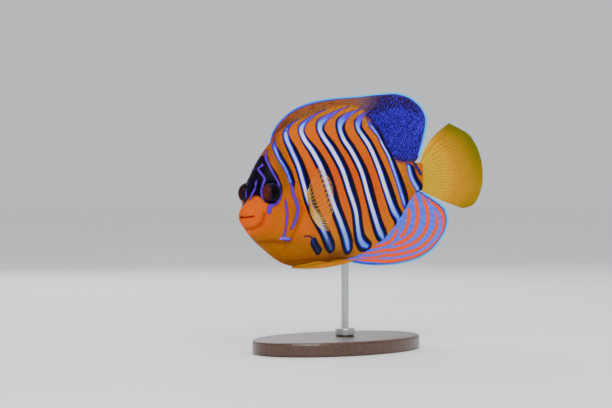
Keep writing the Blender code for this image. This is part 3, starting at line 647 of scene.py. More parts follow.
# Materials
class Shader:
    """A small helper to lay out a material's nodes."""

    def __init__(self, name, roughness, **sockets):
        self.material = bpy.data.materials.new(name)
        self.material.use_nodes = True
        self.nodes = self.material.node_tree.nodes
        self.links = self.material.node_tree.links
        self.surface = self.nodes["Principled BSDF"]
        self.surface.inputs["Roughness"].default_value = roughness
        for socket, value in sockets.items():
            self.surface.inputs[socket.replace("_", " ")].default_value = value

    def node(self, kind, **values):
        made = self.nodes.new("ShaderNode" + kind)
        for name, value in values.items():
            setattr(made, name, value)
        return made

    def attribute(self, name, output="Fac"):
        return self.node("Attribute", attribute_name=name).outputs[output]

    def feed(self, socket, value):
        """Links a socket, or sets it to a number or to a colour of the palette."""
        if isinstance(value, str):
            socket.default_value = (*linear(PALETTE[value]), 1)
        elif isinstance(value, (int, float)):
            socket.default_value = value
        else:
            self.links.new(value, socket)

    def ramp(self, value, stops, low=0.0, high=1.0):
        """Colours over a value: stops are (value, palette name or grey), between low and high."""
        scaled = self.node("MapRange")
        scaled.inputs["From Min"].default_value = low
        scaled.inputs["From Max"].default_value = high
        self.links.new(value, scaled.inputs["Value"])
        made = self.node("ValToRGB")
        elements = made.color_ramp.elements
        while len(elements) < len(stops):
            elements.new(1.0)
        for element, (at, colour) in zip(elements, stops):
            element.position = (at - low) / (high - low)
            named = isinstance(colour, str)
            element.color = (*linear(PALETTE[colour]), 1) if named else (colour, colour, colour, 1)
        self.links.new(scaled.outputs["Result"], made.inputs["Fac"])
        return made.outputs["Color"]

    def read(self, name, *stops):
        """A ramp over one of the mesh's attributes."""
        return self.ramp(self.attribute(name), stops, *READ_BETWEEN.get(name, (0.0, 1.0)))

    def mix(self, weight, first, second):
        made = self.node("Mix", data_type="RGBA")
        for socket, value in zip((made.inputs[0], made.inputs[6], made.inputs[7]),
                                 (weight, first, second)):
            self.feed(socket, value)
        return made.outputs[2]

    def maths(self, operation, first, second):
        made = self.node("Math", operation=operation)
        for socket, value in zip(made.inputs, (first, second)):
            self.feed(socket, value)
        return made.outputs[0]

    def joined(self, first, second):
        """A place made of two values, for a pattern that follows them."""
        made = self.node("CombineXYZ")
        self.links.new(first, made.inputs[0])
        self.links.new(second, made.inputs[1])
        return made.outputs[0]

    def noise(self, scale, detail, stretch=(1, 1, 1), where=None):
        mapping = self.node("Mapping")
        mapping.inputs["Scale"].default_value = stretch
        self.links.new(where or self.node("TexCoord").outputs["Object"], mapping.inputs["Vector"])
        made = self.node("TexNoise")
        made.inputs["Scale"].default_value = scale
        made.inputs["Detail"].default_value = detail
        self.links.new(mapping.outputs["Vector"], made.inputs["Vector"])
        return made.outputs["Fac"]

    def grain(self, scale, detail, first, second, edge=0.3):
        """Noise between two colours or weights, soft from edge to 1 - edge."""
        return self.ramp(self.noise(scale, detail), [(edge, first), (1 - edge, second)])

    def bump(self, height, distance, strength):
        made = self.node("Bump")
        made.inputs["Distance"].default_value = distance
        made.inputs["Strength"].default_value = strength
        self.links.new(height, made.inputs["Height"])
        self.links.new(made.outputs["Normal"], self.surface.inputs["Normal"])

    def finish(self, colour):
        self.links.new(colour, self.surface.inputs["Base Color"])
        return self.material


def marked_colour(shader):
    """Ground, soft dorsal, mask, dark borders, blue edges, white cores, violet lines."""
    mix, read = shader.mix, shader.read
    colour = mix(shader.grain(900, 2, 0.0, 0.25), shader.attribute("ground", "Color"), "grain")
    # Painted shade in the skin's creases and along the gill cover's edge
    colour = mix(shader.attribute("fold_shade"), colour, "crease_shade")
    depth = read("blue", (-7.0, 0.0), (-1.5, 1.0))
    dots = shader.maths("SUBTRACT", shader.noise(1250, 0.5, (1.6, 1.6, 0.6)),
                        shader.maths("MULTIPLY", depth, 0.14))
    maze = mix(shader.ramp(dots, [(0.44, 0.0), (0.53, 1.0)]),
               mix(depth, "maze_dark", "maze_brown"), "maze_blue")
    colour = mix(read("blue", (-2.6, 1.0), (0.6, 0.0)), colour, maze)
    colour = mix(read("mask", (-0.6, 1.0), (0.6, 0.0)), colour, "mask")
    colour = mix(read("dark", (-0.3, 1.0), (0.5, 0.0)), colour, "dark")
    # Low on the front of the flank the stripes turn slate, in the dorsal fin they turn violet
    under = shader.maths("MULTIPLY", read("height", (-26, 1.0), (-16, 0.0)),
                         read("along", (72, 1.0), (88, 0.0)))
    edge = mix(under, read("height", (50, "edge_blue"), (57, "fin_violet")), "slate")
    core = read("height", (-26, "sky"), (-14, "pale_sky"), (0, "white"), (41, "white"),
                (48, "pale_sky"), (53, "sky"), (57.5, "fin_violet"))
    core = mix(read("along", (36, 0.7), (44, 0.0), (122, 0.0), (136, 0.85)), core, "sky")
    core = mix(under, core, "slate_blue")
    blue = (BLUE_EDGE_WIDTH - 0.35, 1.0), (BLUE_EDGE_WIDTH + 0.2, 0.0)
    colour = mix(read("stripe", *blue), colour, edge)
    colour = mix(read("stripe", (-0.35, 1.0), (0.15, 0.0)), colour, core)
    colour = mix(read("violet", (0.0, 0.8), (0.9, 0.0)), colour, "violet_shade")
    return mix(read("violet", (-0.2, 1.0), (0.2, 0.0)), colour, "violet")


def skin_material():
    shader = Shader("fish_skin", 0.55, Specular_IOR_Level=0.05)
    # The mouth's line is the lips' own red-brown with painted shade in the slit between them
    colour = shader.mix(shader.attribute("hollow"), marked_colour(shader), "lip_red_and_slit_shade")
    shader.bump(shader.noise(1400, 3), 0.0002, 0.35)
    return shader.finish(colour)


def scale_material():
    shader = Shader("fish_scales", 0.45, Specular_IOR_Level=0.07)
    # Darker towards each scale's free rear rim: painted shade where it overlaps the next scale
    rim = shader.read("tip", (0.5, 0.0), (1.0, 0.3))
    return shader.finish(shader.mix(rim, marked_colour(shader), "scale_rim_shade"))


# The skin of the body
def flank(s, angle):
    """Points of the left side's surface at stations s and angles from the belly to the back."""
    s, rise = np.broadcast_arrays(s, np.sin(angle))
    mid = WIDEST(s)
    z = mid + np.where(rise > 0, BACK(s) - mid, mid - BELLY(s)) * rise
    return with_lips(np.stack([s, -full_width(s, z), z], axis=-1))


def grid_normals(grid):
    """Outward unit normals of a grid of stations by ring points."""
    ring = np.roll(grid, -1, axis=1) - np.roll(grid, 1, axis=1)
    normal = np.cross(ring, np.gradient(grid, axis=0))
    return normal / (np.linalg.norm(normal, axis=2, keepdims=True) + 1e-9)


def make_skin():
    count = np.linspace(0, 1, SKIN_STATIONS)
    # Closer together at the snout
    spread = (0.35 * count ** 2.2 + 0.65 * count) * np.minimum(1, (count * 12) ** 0.6)
    stations = SNOUT_S + 0.01 + (PEDUNCLE_END + 0.4 - SNOUT_S) * spread
    left = flank(stations[:, None], np.linspace(-math.pi / 2, math.pi / 2, SKIN_ROWS))
    grid = np.concatenate([left, left[:, ::-1] * (1, -1, 1)], axis=1)
    normal = grid_normals(grid)
    if normal[SKIN_STATIONS // 2, SKIN_ROWS // 2, 1] > 0:
        normal = -normal
    points = grid.reshape(-1, 3)
    sunk = np.full(len(points), SKIN_DEPTH)
    for line, depth, width in FOLDS:
        distance = line_field(points, [line])
        sunk += depth * np.exp(-(distance / width) ** 2)
    for s, z, radius in NOSTRILS:
        near = np.hypot(points[:, 0] - s, (points[:, 2] - z) / 1.2) / radius
        sunk += 0.5 * (1 - smoothstep(near, 0.4, 1.1))
    points = points - normal.reshape(-1, 3) * sunk[:, None]
    ring = grid.shape[1]
    i, j = np.meshgrid(np.arange(SKIN_STATIONS - 1), np.arange(ring), indexing="ij")
    a, b = i * ring + j, i * ring + (j + 1) % ring
    quads = np.stack([a, b, b + ring, a + ring], axis=-1).reshape(-1, 4)
    caps = []
    for start in (0, (SKIN_STATIONS - 1) * ring):
        for k in range(SKIN_ROWS - 1):
            corners = [start + k, start + ring - 1 - k, start + ring - 2 - k, start + k + 1]
            caps.append(corners if start == 0 else corners[::-1])
    quads = np.concatenate([quads[:, ::-1], np.array(caps)])
    skin = mesh_object("fish_body_skin", points, quads)
    paint(skin.data, points)
    dress(skin, skin_material(), "body_skin", "head", "torso", "tail_peduncle")


# Scales
SCALES_START = 9.5
COAT_START, COAT_SPLIT, COAT_SEED = 10.0, 66, 7
BARE_AT_EYE, BARE_AT_MOUTH, MOUTH_MIDDLE_Z = 1.4, 5, -7.6
SCALE_SIZE = smooth_curve([(9, 0.6), (40, 0.78), (60, 1.0), (120, 0.95), (157, 0.7)])
SCALE_OVERLAP = 0.88
SCALE_LENGTH = 1.5
SCALE_LIFT = 0.17
SCALE_ROOT = 0.14
# A scale seen from above, as (back, across) of its pitch: root, middle and rounded rear edge
SCALE_ROWS = [[(-0.35, -0.35), (-0.35, 0.35)],
              [(0.15, -0.62), (0.2, -0.22), (0.2, 0.22), (0.15, 0.62)],
              [(0.52, -0.6), (0.85, -0.36), (1.0, 0.0), (0.85, 0.36), (0.52, 0.6)]]
SCALE_HEIGHTS = [-1.0, 0.55, 1.0]
SCALE_FACES = [(0, 3, 2), (0, 1, 3), (1, 4, 3), (1, 5, 4), (2, 7, 6), (2, 3, 7), (3, 8, 7),
               (3, 4, 8), (4, 9, 8), (4, 5, 9), (5, 10, 9)]
SCALE_RIM = [0, 2, 6, 7, 8, 9, 10, 5, 1]


def scale_places():
    """Station, angle, pitch and share of the height of every scale's root on the left side."""
    places = []
    angle = np.linspace(-math.pi / 2, math.pi / 2, 700)
    s, column = SCALES_START, 0
    while s < PEDUNCLE_END - 1.2:
        pitch = SCALE_PITCH * float(SCALE_SIZE(s))
        steps = np.linalg.norm(np.diff(flank(s, angle), axis=0), axis=1)
        arc = np.concatenate([[0.0], np.cumsum(steps)])
        at = np.arange(0.3 + 0.5 * (column % 2), arc[-1] / pitch, 1.0) * pitch
        angles = np.interp(at, arc, angle)
        places += [(s, a, pitch, share) for a, share in zip(angles, at / arc[-1])]
        s += pitch * SCALE_OVERLAP
        column += 1
    return np.array(places)


def make_scales(side, word, places, rng, material):
    s, angle, pitch, fraction = places.T
    count = len(s)
    s = s + rng.normal(0, 0.08, count)
    angle = np.clip(angle, -1.53, 1.53)
    root = flank(s, angle)
    back = unit(flank(s + 0.2, angle) - flank(s - 0.2, angle))
    up = flank(s, angle + 0.01) - flank(s, angle - 0.01)
    normal = unit(np.cross(up, back))
    normal *= np.where(normal[:, 1:2] > 0, -1, 1)
    up = np.cross(normal, back)
    size = pitch * (1 + rng.normal(0, 0.06, count))
    turn = rng.normal(0, 0.07, count)
    back, up = (back * np.cos(turn)[:, None] + up * np.sin(turn)[:, None],
                up * np.cos(turn)[:, None] - back * np.sin(turn)[:, None])
    lift = SCALE_LIFT * (0.55 + 0.45 * pitch / SCALE_PITCH) * (1 + rng.normal(0, 0.12, count))
    base = root - normal * SKIN_DEPTH
    rows, patch = [], []
    for row, height in zip(SCALE_ROWS, SCALE_HEIGHTS):
        for along, across in row:
            rise = np.where(height < 0, -SCALE_ROOT, lift * height)
            rows.append(base + back * (along * SCALE_LENGTH * size)[:, None]
                        + up * (across * size)[:, None] + normal * rise[:, None])
            patch.append((along, across))
    tips = [max(0.0, along) for along, _ in patch] + [0.0]
    patch.append((0.2, 0.0))
    rows.append(base - normal * (SCALE_ROOT + 0.12) + back * (0.2 * size)[:, None])
    points = np.stack(rows, axis=1).reshape(-1, 3)
    under = [(a, b, len(rows) - 1) for a, b in zip(SCALE_RIM, SCALE_RIM[1:] + SCALE_RIM[:1])]
    local = np.array(SCALE_FACES + under)
    faces = (local[None] + np.arange(count)[:, None, None] * len(rows)).reshape(-1, 3)
    points = points * (1, -side, 1)
    if side > 0:
        faces = faces[:, ::-1]
    item = mesh_object("scales_" + word, points, faces)
    paint(item.data, points, {"tip": np.tile(tips, count)})
    place = np.stack([s / 200, 0.25 + fraction * 0.24 + (0.25 if side > 0 else 0.0)], axis=1)
    spread = np.array(patch) - np.mean(patch, axis=0)
    spread = spread / np.ptp(spread, axis=0).max() * 0.003
    uv = (place[:, None, :] + spread[None]).reshape(-1, 2)
    layer = item.data.uv_layers.new(name="OFBake")
    loops = np.empty(len(item.data.loops), np.int32)
    item.data.loops.foreach_get("vertex_index", loops)
    layer.data.foreach_set("uv", uv[loops].astype(np.float32).ravel())
    item.data.set_sharp_from_angle(angle=math.radians(50))
    dress(item, material, "body_skin")


def make_coat():
    places = scale_places()
    s, angle, _, _ = places.T
    z = flank(s, angle)[:, 2]
    eye = np.hypot(s - EYE_S, z - EYE_Z) > EYE_RADIUS + BARE_AT_EYE
    mouth = (s > MOUTH_CORNER_S + BARE_AT_MOUTH) | (np.abs(z - MOUTH_MIDDLE_Z) > BARE_AT_MOUTH)
    places = places[eye & mouth & (s > COAT_START)]
    rng = np.random.default_rng(COAT_SEED)
    material = scale_material()
    for side, word in ((-1, "left"), (1, "right")):
        for part, chosen in (("front", places[:, 0] < COAT_SPLIT),
                             ("rear", places[:, 0] >= COAT_SPLIT)):
            make_scales(side, word + "_" + part, places[chosen], rng, material)


# Fins: each one's rays, where along them they fork, and the mesh's columns per ray and its rows
FIN_RAYS = {"dorsal": (32, (0.5, 0.78), 8, 90), "anal": (21, (0.4, 0.72), 10, 80),
            "caudal": (17, (0.3, 0.6), 14, 90), "pelvic": (6, (0.35, 0.65), 12, 70),
            "pectoral": (13, (0.45, 0.75), 6, 50)}


def rays_of(name):
    return FIN_RAYS[name.split("_")[0]]


def bezier(start, knee, end, v):
    return start * (1 - v) ** 2 + 2 * knee * v * (1 - v) + end * v * v


def ray_ribs(k, v, name):
    """How much a ray rises at k across a fin and v along it, from 0 to 1."""
    rays, forks, _, _ = rays_of(name)
    place = k * (rays - 1)
    nearest = np.abs(place - np.round(place))
    spread = 0.25
    for fork in forks:
        opening = smoothstep(v, fork, min(fork + 0.2, 1.0))
        nearest = np.where(v > fork, np.abs(nearest - spread * opening), nearest)
        spread /= 2
    return np.exp(-(nearest / 0.13) ** 2)


def fin_mesh(name, middle, across, half, extra=lambda k, v: {}):
    """A thin closed fin over a grid of k and v, its faces half(k, v) away from its middle."""
    rays, _, between, rows = rays_of(name)
    columns = (rays - 1) * between + 1
    k, v = np.meshgrid(np.linspace(0, 1, columns), np.linspace(0, 1, rows), indexing="ij")
    centre = middle(k, v)
    offset = across(centre) * half(k, v)[..., None]
    edge = np.minimum(1.0, 12 * np.minimum(np.minimum(k, 1 - k) * 4, 1 - v) + 0.3)[..., None]
    offset = offset * edge
    points = np.concatenate([(centre - offset).reshape(-1, 3), (centre + offset).reshape(-1, 3)])
    count = columns * rows
    i, j = np.meshgrid(np.arange(columns - 1), np.arange(rows - 1), indexing="ij")
    a = (i * rows + j).ravel()
    quads = np.stack([a, a + rows, a + rows + 1, a + 1], axis=-1)
    border = list(range(0, count, rows)) + list(range(count - rows + 1, count))
    border += list(range(count - rows - 1, 0, -rows)) + list(range(rows - 2, 0, -1))
    border = np.array(border)
    following = np.roll(border, -1)
    rim = np.stack([border, border + count, following + count, following], axis=-1)
    faces = np.concatenate([quads, quads[:, ::-1] + count, rim])
    item = mesh_object(name, points, faces)
    facts = {"rib": ray_ribs(k, v, name), "reach": v, "fan": k, **extra(k, v)}
    facts = {key: np.tile(values.ravel(), 2) for key, values in facts.items()}
    return item, points, facts


def sideways(centre):
    return np.array([0.0, 1.0, 0.0])


def fin_half(name):
    """Half a fin's thickness: thick at its root, thin at its edge, with the rays' ridges."""
    root, edge, ridge = FIN_HALF[name]

    def half(k, v):
        plain = edge + (root - edge) * (1 - v) ** 3
        return plain + ridge * (1 - 0.75 * v) * ray_ribs(k, v, name)

    return half


def tips(table):
    """Smooth curves over the first column for the other columns of a table."""
    return [smooth_curve([(row[0], row[column]) for row in table])
            for column in range(1, len(table[0]))]


def finish_fin(item, points, facts, material, node, slot):
    paint(item.data, points, facts)
    dress(item, material, slot, node)


def hemmed(table, hem):
    """A table of ray tips, moved outwards by what hem says for their k."""
    moves = [hem.get(row[0], (0.0, 0.0)) for row in table]
    return [(k, s + move[0], z + move[1]) for (k, s, z), move in zip(table, moves)]


def hem_distance(k, centre):
    """How far each place of a fin lies from the edge at its last rays, as a line's margin."""
    edge = centre[int(HEM_START * (len(centre) - 1)):, -1]
    gap = np.linalg.norm(centre[:, :, None] - edge, axis=-1).min(-1)
    start = 2 * MARGIN_WIDTH * (1 - smoothstep(k, HEM_START, HEM_FULL))
    return gap * MARGIN_WIDTH / HEM_WIDTH + start


# How deep the dorsal and anal fins are rooted in the body
ROOT_SUNK = 0.9


def median_fin(name, outline, side, root, table, sweep, half):
    curves = tips(table)

    def middle(k, v):
        """A place of the fin's middle plane, bowed along the ray by sweep."""
        s = root(k)
        slope = outline(s + 0.5) - outline(s - 0.5)
        sunk = -ROOT_SUNK * side / np.hypot(1.0, slope)
        start = np.stack([s - slope * sunk, outline(s) + sunk], -1)
        end = np.stack([curve(k) for curve in curves], -1)
        out = end - start
        bow = np.stack([-out[..., 1], out[..., 0]], -1)
        place = start + out * v[..., None] + bow * (sweep * v * (1 - v))[..., None]
        return np.stack([place[..., 0], np.zeros(k.shape), place[..., 1]], -1)

    def extra(k, v):
        length = np.linalg.norm(middle(k, np.ones_like(v)) - middle(k, np.zeros_like(v)), axis=-1)
        return {"margin": np.minimum((1 - v) * length, hem_distance(k, middle(k, v)))}

    return fin_mesh(name, middle, sideways, half, extra)


def ribbed(shader, colour, strength, shade):
    """Darkens a fin between its rays and gives its membrane a fine grain."""
    shader.bump(shader.noise(1100, 2), 0.0001, 0.3)
    return shader.mix(shader.read("rib", (0.1, strength), (0.9, 0.0)), colour, shade)


def margined(shader, colour, start, end):
    """A bright line along a fin's edge, blue in front and cyan behind, over a dark one."""
    hue = shader.read("along", (start, "margin_blue"), (end, "margin"))
    colour = shader.mix(shader.read("margin", (1.7, 1.0), (2.4, 0.0)), colour, "margin_shade")
    return shader.mix(shader.read("margin", (1.15, 1.0), (1.5, 0.0)), colour, hue)


def dorsal_material():
    shader = Shader("dorsal_membrane", 0.5, Specular_IOR_Level=0.1)
    colour = marked_colour(shader)
    margin, along = shader.attribute("margin"), shader.attribute("along")
    weight = shader.maths("MULTIPLY", shader.ramp(margin, [(5.0, 1.0), (8.5, 0.0)], 0, 20),
                          shader.read("along", (88, 1.0), (116, 0.0)))
    for offset, hue in ((0, "streak"), (40, "streak_dark")):
        place = shader.joined(margin, shader.maths("ADD", along, offset))
        streaks = shader.ramp(shader.noise(1, 2, (1.1, 0.12, 1), place), [(0.5, 0.0), (0.6, 0.8)])
        colour = shader.mix(shader.maths("MULTIPLY", streaks, weight), colour, hue)
    colour = ribbed(shader, colour, 0.3, "dorsal_gap")
    return shader.finish(margined(shader, colour, 50, 110))


def anal_material():
    shader = Shader("anal_membrane", 0.5, Specular_IOR_Level=0.12)
    colour = shader.mix(shader.grain(700, 2, 0.0, 0.35, 0.35), "lilac", "lilac_shade")
    colour = ribbed(shader, colour, 0.3, "anal_gap")
    colour = shader.mix(shader.read("band", (0.1, 0.55), (0.6, 0.0)), colour, "band_shade")
    colour = shader.mix(shader.read("band", (-0.15, 1.0), (0.25, 0.0)), colour, "band")
    return shader.finish(margined(shader, colour, 120, 150))


def yellow_material(name, inner, middle, outer):
    """Yellow that deepens along the rays and turns outer towards the tips and the top."""
    shader = Shader(name, 0.5, Specular_IOR_Level=0.1)
    colour = shader.mix(shader.read("reach", (0.25, 0.0), (0.65, 1.0)), inner, middle)
    rear = shader.maths("MULTIPLY", shader.read("reach", (0.52, 0.0), (0.95, 1.0)),
                        shader.read("fan", (0.05, 0.75), (0.3, 0.6), (0.8, 1.0)))
    colour = shader.mix(rear, colour, outer)
    colour = shader.mix(shader.grain(500, 2, 0.0, 0.2, 0.35), colour, outer)
    return shader.finish(ribbed(shader, colour, 0.45, "yellow_gap"))


def make_dorsal():
    item, points, facts = median_fin("dorsal_fin_web", BACK, 1, DORSAL_ROOT,
                                     hemmed(DORSAL_TIP, DORSAL_HEM), -0.10,
                                     fin_half("dorsal"))
    finish_fin(item, points, facts, dorsal_material(), "dorsal_fin", "dorsal_fin")


def make_anal():
    root = lambda k: ANAL_ROOT(k) - ANAL_LEAD * (1 - smoothstep(k, 0.0, 0.08))
    item, points, facts = median_fin("anal_fin_web", BELLY, -1, root,
                                     hemmed(ANAL_TIP, ANAL_HEM), 0.10,
                                     fin_half("anal"))
    facts["band"] = line_field(points, BANDS)
    finish_fin(item, points, facts, anal_material(), "anal_fin", "anal_fin")


def make_caudal():
    curves = tips(CAUDAL_TIP)
    low = float(BELLY(PEDUNCLE_END)) + 0.5
    top = float(BACK(PEDUNCLE_END)) - 0.5

    def middle(k, v):
        start = np.stack([np.full(k.shape, PEDUNCLE_END - 0.8), low + (top - low) * k], -1)
        end = np.stack([curve(k) for curve in curves], -1)
        pull = (np.array([-2.7, -0.7]) * (1 - k[..., None]) ** 2
                + np.array([-7.7, 1.8]) * k[..., None] ** 3)
        place = bezier(start, (start + end) / 2 + pull, end, v[..., None])
        return np.stack([place[..., 0], np.zeros(k.shape), place[..., 1]], -1)

    def half(k, v):
        root = 0.86 * half_width(np.full(k.shape, PEDUNCLE_END), low + (top - low) * k)
        plain = 0.24 + (root - 0.24) * np.maximum(0.0, 1 - v / 0.35) ** 2
        return plain + 0.2 * (1 - 0.75 * v) * ray_ribs(k, v, "caudal")

    item, points, facts = fin_mesh("caudal_fin_web", middle, sideways, half)
    material = yellow_material("tail_membrane", "yellow", "deep_yellow", "olive")
    finish_fin(item, points, facts, material, "caudal_fin", "tail_fin")


def make_pelvic(word, side, material):
    def middle(k, v):
        root = PELVIC_ROOT[0] + PELVIC_ROOT[1] * k
        end = PELVIC_END[0] + PELVIC_END[1] * k ** 1.5
        s = root + (end - root) * v
        low = PELVIC_LOW - np.sin(math.pi * v) + 4.2 * v ** 3
        high = BELLY(s) + 2.6
        z = low + (high - low) * (k * (0.35 + 0.65 * np.sin(math.pi * np.minimum(v + 0.12, 1.0))))
        body = half_width(s, np.maximum(z, BELLY(s)))
        y = body + 1.05 - 1.1 * (1 - v) ** 8 + 2.2 * smoothstep(s, 78, 98)
        return np.stack([s, side * y, z], -1)

    half = fin_half("pelvic")
    item, points, facts = fin_mesh("pelvic_fin_web_" + word, middle, sideways, half)
    finish_fin(item, points, facts, material, "pelvic_fin_" + word, "pelvic_fin")


def pectoral_middle(side, sweep):
    bend = tips(PECTORAL_BEND)
    tip = tips(PECTORAL_TIP)

    def turned(curves, k):
        s, y, z = (curve(k) for curve in curves)
        return np.stack([s * math.cos(sweep) - y * math.sin(sweep),
                         s * math.sin(sweep) + y * math.cos(sweep), z], -1)

    def middle(k, v):
        s, z = (foot + rise * k for foot, rise in zip(PECTORAL_FOOT, PECTORAL_RISE))
        start = np.stack([s, -(half_width(s, z) - 0.5), z], -1)
        place = bezier(start, start + turned(bend, k), start + turned(tip, k), v[..., None])
        return place * (1, -side, 1)

    return middle


def pectoral_materials():
    web = Shader("pectoral_web", 0.3, Specular_IOR_Level=0.3, Alpha=0.05)
    rays = Shader("pectoral_rays", 0.45, Specular_IOR_Level=0.1, Alpha=0.5)
    roots = Shader("pectoral_ray_roots", 0.45, Specular_IOR_Level=0.2)
    pale = roots.read("reach", (0.02, "root_orange"), (0.12, "root_gold"), (0.4, "root_cream"),
                      (0.9, "root_tip"))
    return (web.finish(web.grain(400, 2, "fin_clear", "web_tint")),
            rays.finish(rays.read("reach", (0.2, "ray_pale"), (1.0, "ray_deep"))),
            roots.finish(pale))


def across_fin(centre):
    return unit(np.cross(np.gradient(centre, axis=0), np.gradient(centre, axis=1)))


def make_pectoral(word, side, sweep, materials):
    middle = pectoral_middle(side, sweep)
    half = lambda k, v: 0.09 + 0.5 * (1 - v) ** 8
    item, points, facts = fin_mesh("pectoral_fin_web_" + word, middle, across_fin, half)
    finish_fin(item, points, facts, materials[0], "pectoral_fin_" + word, "pectoral_fin")
    rays, forks, _, _ = FIN_RAYS["pectoral"]
    curves = []
    for ray in range(rays):
        for fork, spread in ((0.0, 0.0), (forks[1], -0.25), (forks[1], 0.25)):
            v = np.linspace(fork, 0.99, 28)
            k = (ray + spread * smoothstep(v, fork, min(fork + 0.2, 1.0))) / (rays - 1)
            curves.append((np.clip(k, 0, 1), v, 0.25 - 0.07 * v))
    tube_object("pectoral_rays_" + word, middle, curves, materials[1])
    roots = []
    for place in np.linspace(0.0, 1.0, 2 * rays - 1):
        end = 0.3 + 0.66 * (1 - float(smoothstep(place, 0.05, 0.5)))
        v = np.linspace(0.0, end, 20)
        roots.append((np.full(len(v), place), v, 0.1 + 0.34 * (1 - smoothstep(v, 0.5 * end, end))))
    tube_object("pectoral_ray_roots_" + word, middle, roots, materials[2])


def tube_object(name, middle, curves, material):
    """Round rays as one object: each curve is its places k and v on the fin and its radii."""
    tubes, faces, base = [], [], 0
    cos, sin = (part[None, :, None] for part in circle(RAY_SIDES))
    for k, v, radius in curves:
        path = middle(k, v)
        tangent = unit(np.gradient(path, axis=0))
        first = unit(np.cross(tangent, (0.0, 0.0, 1.0)))
        second = np.cross(tangent, first)
        out = first[:, None] * cos + second[:, None] * sin
        ring = path[:, None] + radius[:, None, None] * out
        tubes.append(ring.reshape(-1, 3))
        faces.append(tube_faces(len(v), RAY_SIDES) + base)
        base += len(v) * RAY_SIDES
    item = mesh_object(name, np.concatenate(tubes), np.concatenate(faces))
    store(item.data, "reach", np.concatenate([np.repeat(v, RAY_SIDES) for _, v, _ in curves]))
    dress(item, material, "pectoral_fin")


# Eyes
def eye_material(word, reddish):
    shader = Shader("eye_" + word, 0.3, Specular_IOR_Level=0.06, Coat_Weight=0.02,
                    Coat_Roughness=0.1)
    front = shader.read("front", (0.42, 0.0), (0.66, 0.4 * reddish), (0.9, reddish))
    iris = shader.mix(front, "eye_blue", shader.grain(1500, 3, "iris_brown", "iris_dark", 0.35))
    return shader.finish(shader.mix(shader.read("around", (0.5, 1.0), (0.58, 0.0)), iris, "pupil"))


def make_eye(word, side, material):
    cos, sin = circle(EYE_SIDES)
    rise = np.linspace(0, math.pi, EYE_RINGS + 2)[1:-1]
    rings = [np.stack([cos * math.sin(a), np.full(EYE_SIDES, math.cos(a)), sin * math.sin(a)], -1)
             for a in rise]
    ball = np.concatenate(rings + [[(0, 1, 0)], [(0, -1, 0)]])
    last, low = len(ball) - 2, (EYE_RINGS - 1) * EYE_SIDES
    poles = []
    for n in range(EYE_SIDES):
        following = (n + 1) % EYE_SIDES
        poles += [(last, following, n), (last + 1, low + n, low + following)]
    faces = np.concatenate([ring_walls(EYE_RINGS, EYE_SIDES), poles])[:, ::-1]
    radius = EYE_RADIUS - 0.25
    points = ball * (radius, EYE_DEPTH - 0.1, radius) + (EYE_S, side * EYE_Y, EYE_Z)
    item = mesh_object("eyeball_" + word, points, faces)
    store(item.data, "around", np.hypot(ball[:, 0], ball[:, 2]))
    store(item.data, "front", -ball[:, 0])
    dress(item, material, "eye", "eye_" + word)


def make_spine(word, side, material):
    """The short spine at the lower corner of the cheek."""
    (s, z), (tip_s, tip_z) = CHEEK_SPINE
    start = np.array([s, side * (float(half_width(s, z)) - 0.8), z])
    tip = np.array([tip_s, side * (float(half_width(tip_s, tip_z)) + 1.2), tip_z])
    cos, sin = circle(SPINE_SIDES)
    points = []
    for v in np.linspace(0, 1, SPINE_STEPS):
        radius = 1.25 * math.sqrt(1 - v) * (1 - 0.3 * v) + 0.05
        ring = np.stack([np.zeros(SPINE_SIDES), 0.7 * cos, sin], -1) * radius
        points.append(start + (tip - start) * v + (0, side * 0.9 * v * (1 - v), 0) + ring)
    faces = tube_faces(SPINE_STEPS, SPINE_SIDES)
    item = mesh_object("cheek_spine_" + word, np.concatenate(points), faces)
    dress(item, material, "head_skin")


# Stand
def stand_materials():
    wood = Shader("dark_wood", 0.42, Coat_Weight=0.35, Coat_Roughness=0.18)
    rings = wood.noise(60, 4, (1.0, 9.0, 9.0))
    grain = wood.ramp(rings, [(0.3, "wood"), (0.5, "wood_light"), (0.62, "wood_warm"),
                              (0.8, "wood_dark")])
    pores = wood.ramp(wood.noise(260, 2, (0.8, 14, 14)), [(0.3, 0.5), (0.45, 0.0)])
    wood.bump(rings, 0.0002, 0.25)
    wooden = wood.finish(wood.mix(pores, grain, "wood_pore"))
    steel = Shader("brushed_steel", 0.3, Metallic=1.0)
    streaks = steel.noise(900, 2, (12, 12, 0.4))
    steel.bump(streaks, 0.00005, 0.3)
    metal = steel.finish(steel.ramp(streaks, [(0.3, "steel"), (0.7, "steel_light")]))
    return wooden, metal


def dress_stand():
    wooden, metal = stand_materials()
    for name, material in (("stand_base", wooden), ("stand_collar", metal), ("stand_rod", metal)):
        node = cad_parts[name]
        node.data.materials.clear()
        node.data.materials.append(material)


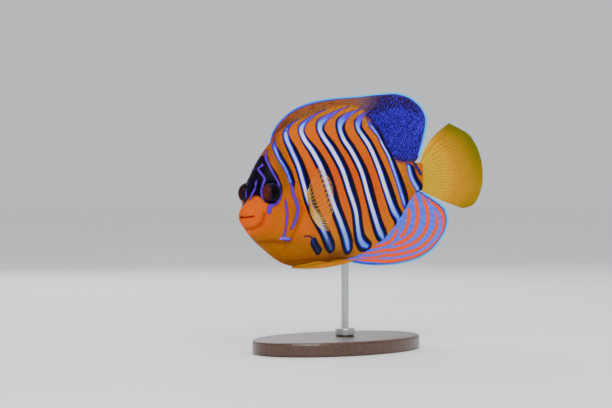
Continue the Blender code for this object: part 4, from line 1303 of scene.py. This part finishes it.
make_skin()
make_coat()
make_dorsal()
make_anal()
make_caudal()
PELVIC = yellow_material("pelvic_membrane", "fin_gold", "gold", "belly")
PECTORAL = pectoral_materials()
# The far eye is the same eye with less red-brown at its front: painted shade
EYES = {"left": eye_material("left", 1.0), "right": eye_material("right", 0.3)}
SPINE = Shader("cheek_spine", 0.3)
SPINE = SPINE.finish(SPINE.grain(800, 2, "spine_blue", "spine_pale"))
for side, word, sweep in ((-1, "left", 0.0), (1, "right", FAR_PECTORAL_SWEEP)):
    make_pelvic(word, side, PELVIC)
    make_pectoral(word, side, sweep, PECTORAL)
    make_eye(word, side, EYES[word])
    make_spine(word, side, SPINE)
dress_stand()


# Stage, light and camera
LIT_PLACE = (0.0, 0.0, 0.1)


def make_floor():
    bpy.ops.mesh.primitive_plane_add(size=60.0, location=(0, 0, 0))
    floor = bpy.context.object
    floor.name = "floor"
    shader = Shader("pale_floor", 0.75)
    floor.data.materials.append(shader.finish(shader.grain(3, 2, "floor", "floor_light")))


def area_light(name, place, width, height, power):
    light = bpy.data.lights.new(name, "AREA")
    light.shape = "RECTANGLE"
    light.size, light.size_y = width, height
    light.energy = power
    aim(new_object(name, light), place, Vector(LIT_PLACE) - Vector(place))


def make_light():
    area_light("key", (-0.75, -1.0, 1.0), 0.8, 0.8, 13.5)
    area_light("top", (0.1, 0.1, 1.2), 1.2, 1.2, 6)
    area_light("back", (0.5, 1.0, 0.7), 1.0, 0.8, 5)
    world = bpy.data.worlds.new("studio")
    world.use_nodes = True
    background = world.node_tree.nodes["Background"]
    background.inputs["Color"].default_value = (0.9, 0.93, 0.97, 1)
    background.inputs["Strength"].default_value = 0.75
    bpy.context.scene.world = world


def make_camera():
    camera = bpy.data.cameras.new("camera")
    camera.lens = LENS
    camera.sensor_width = SENSOR
    camera.clip_start = 0.01
    item = new_object("camera", camera)
    place = ((CAMERA_AT[0] - BASE_CENTRE_S) * MM, CAMERA_AT[1] * MM, FISH_HEIGHT * MM)
    aim(item, place, (-VIEW_BACK[0], -VIEW_BACK[1], 0.0))
    bpy.context.scene.camera = item


make_floor()
make_light()
make_camera()
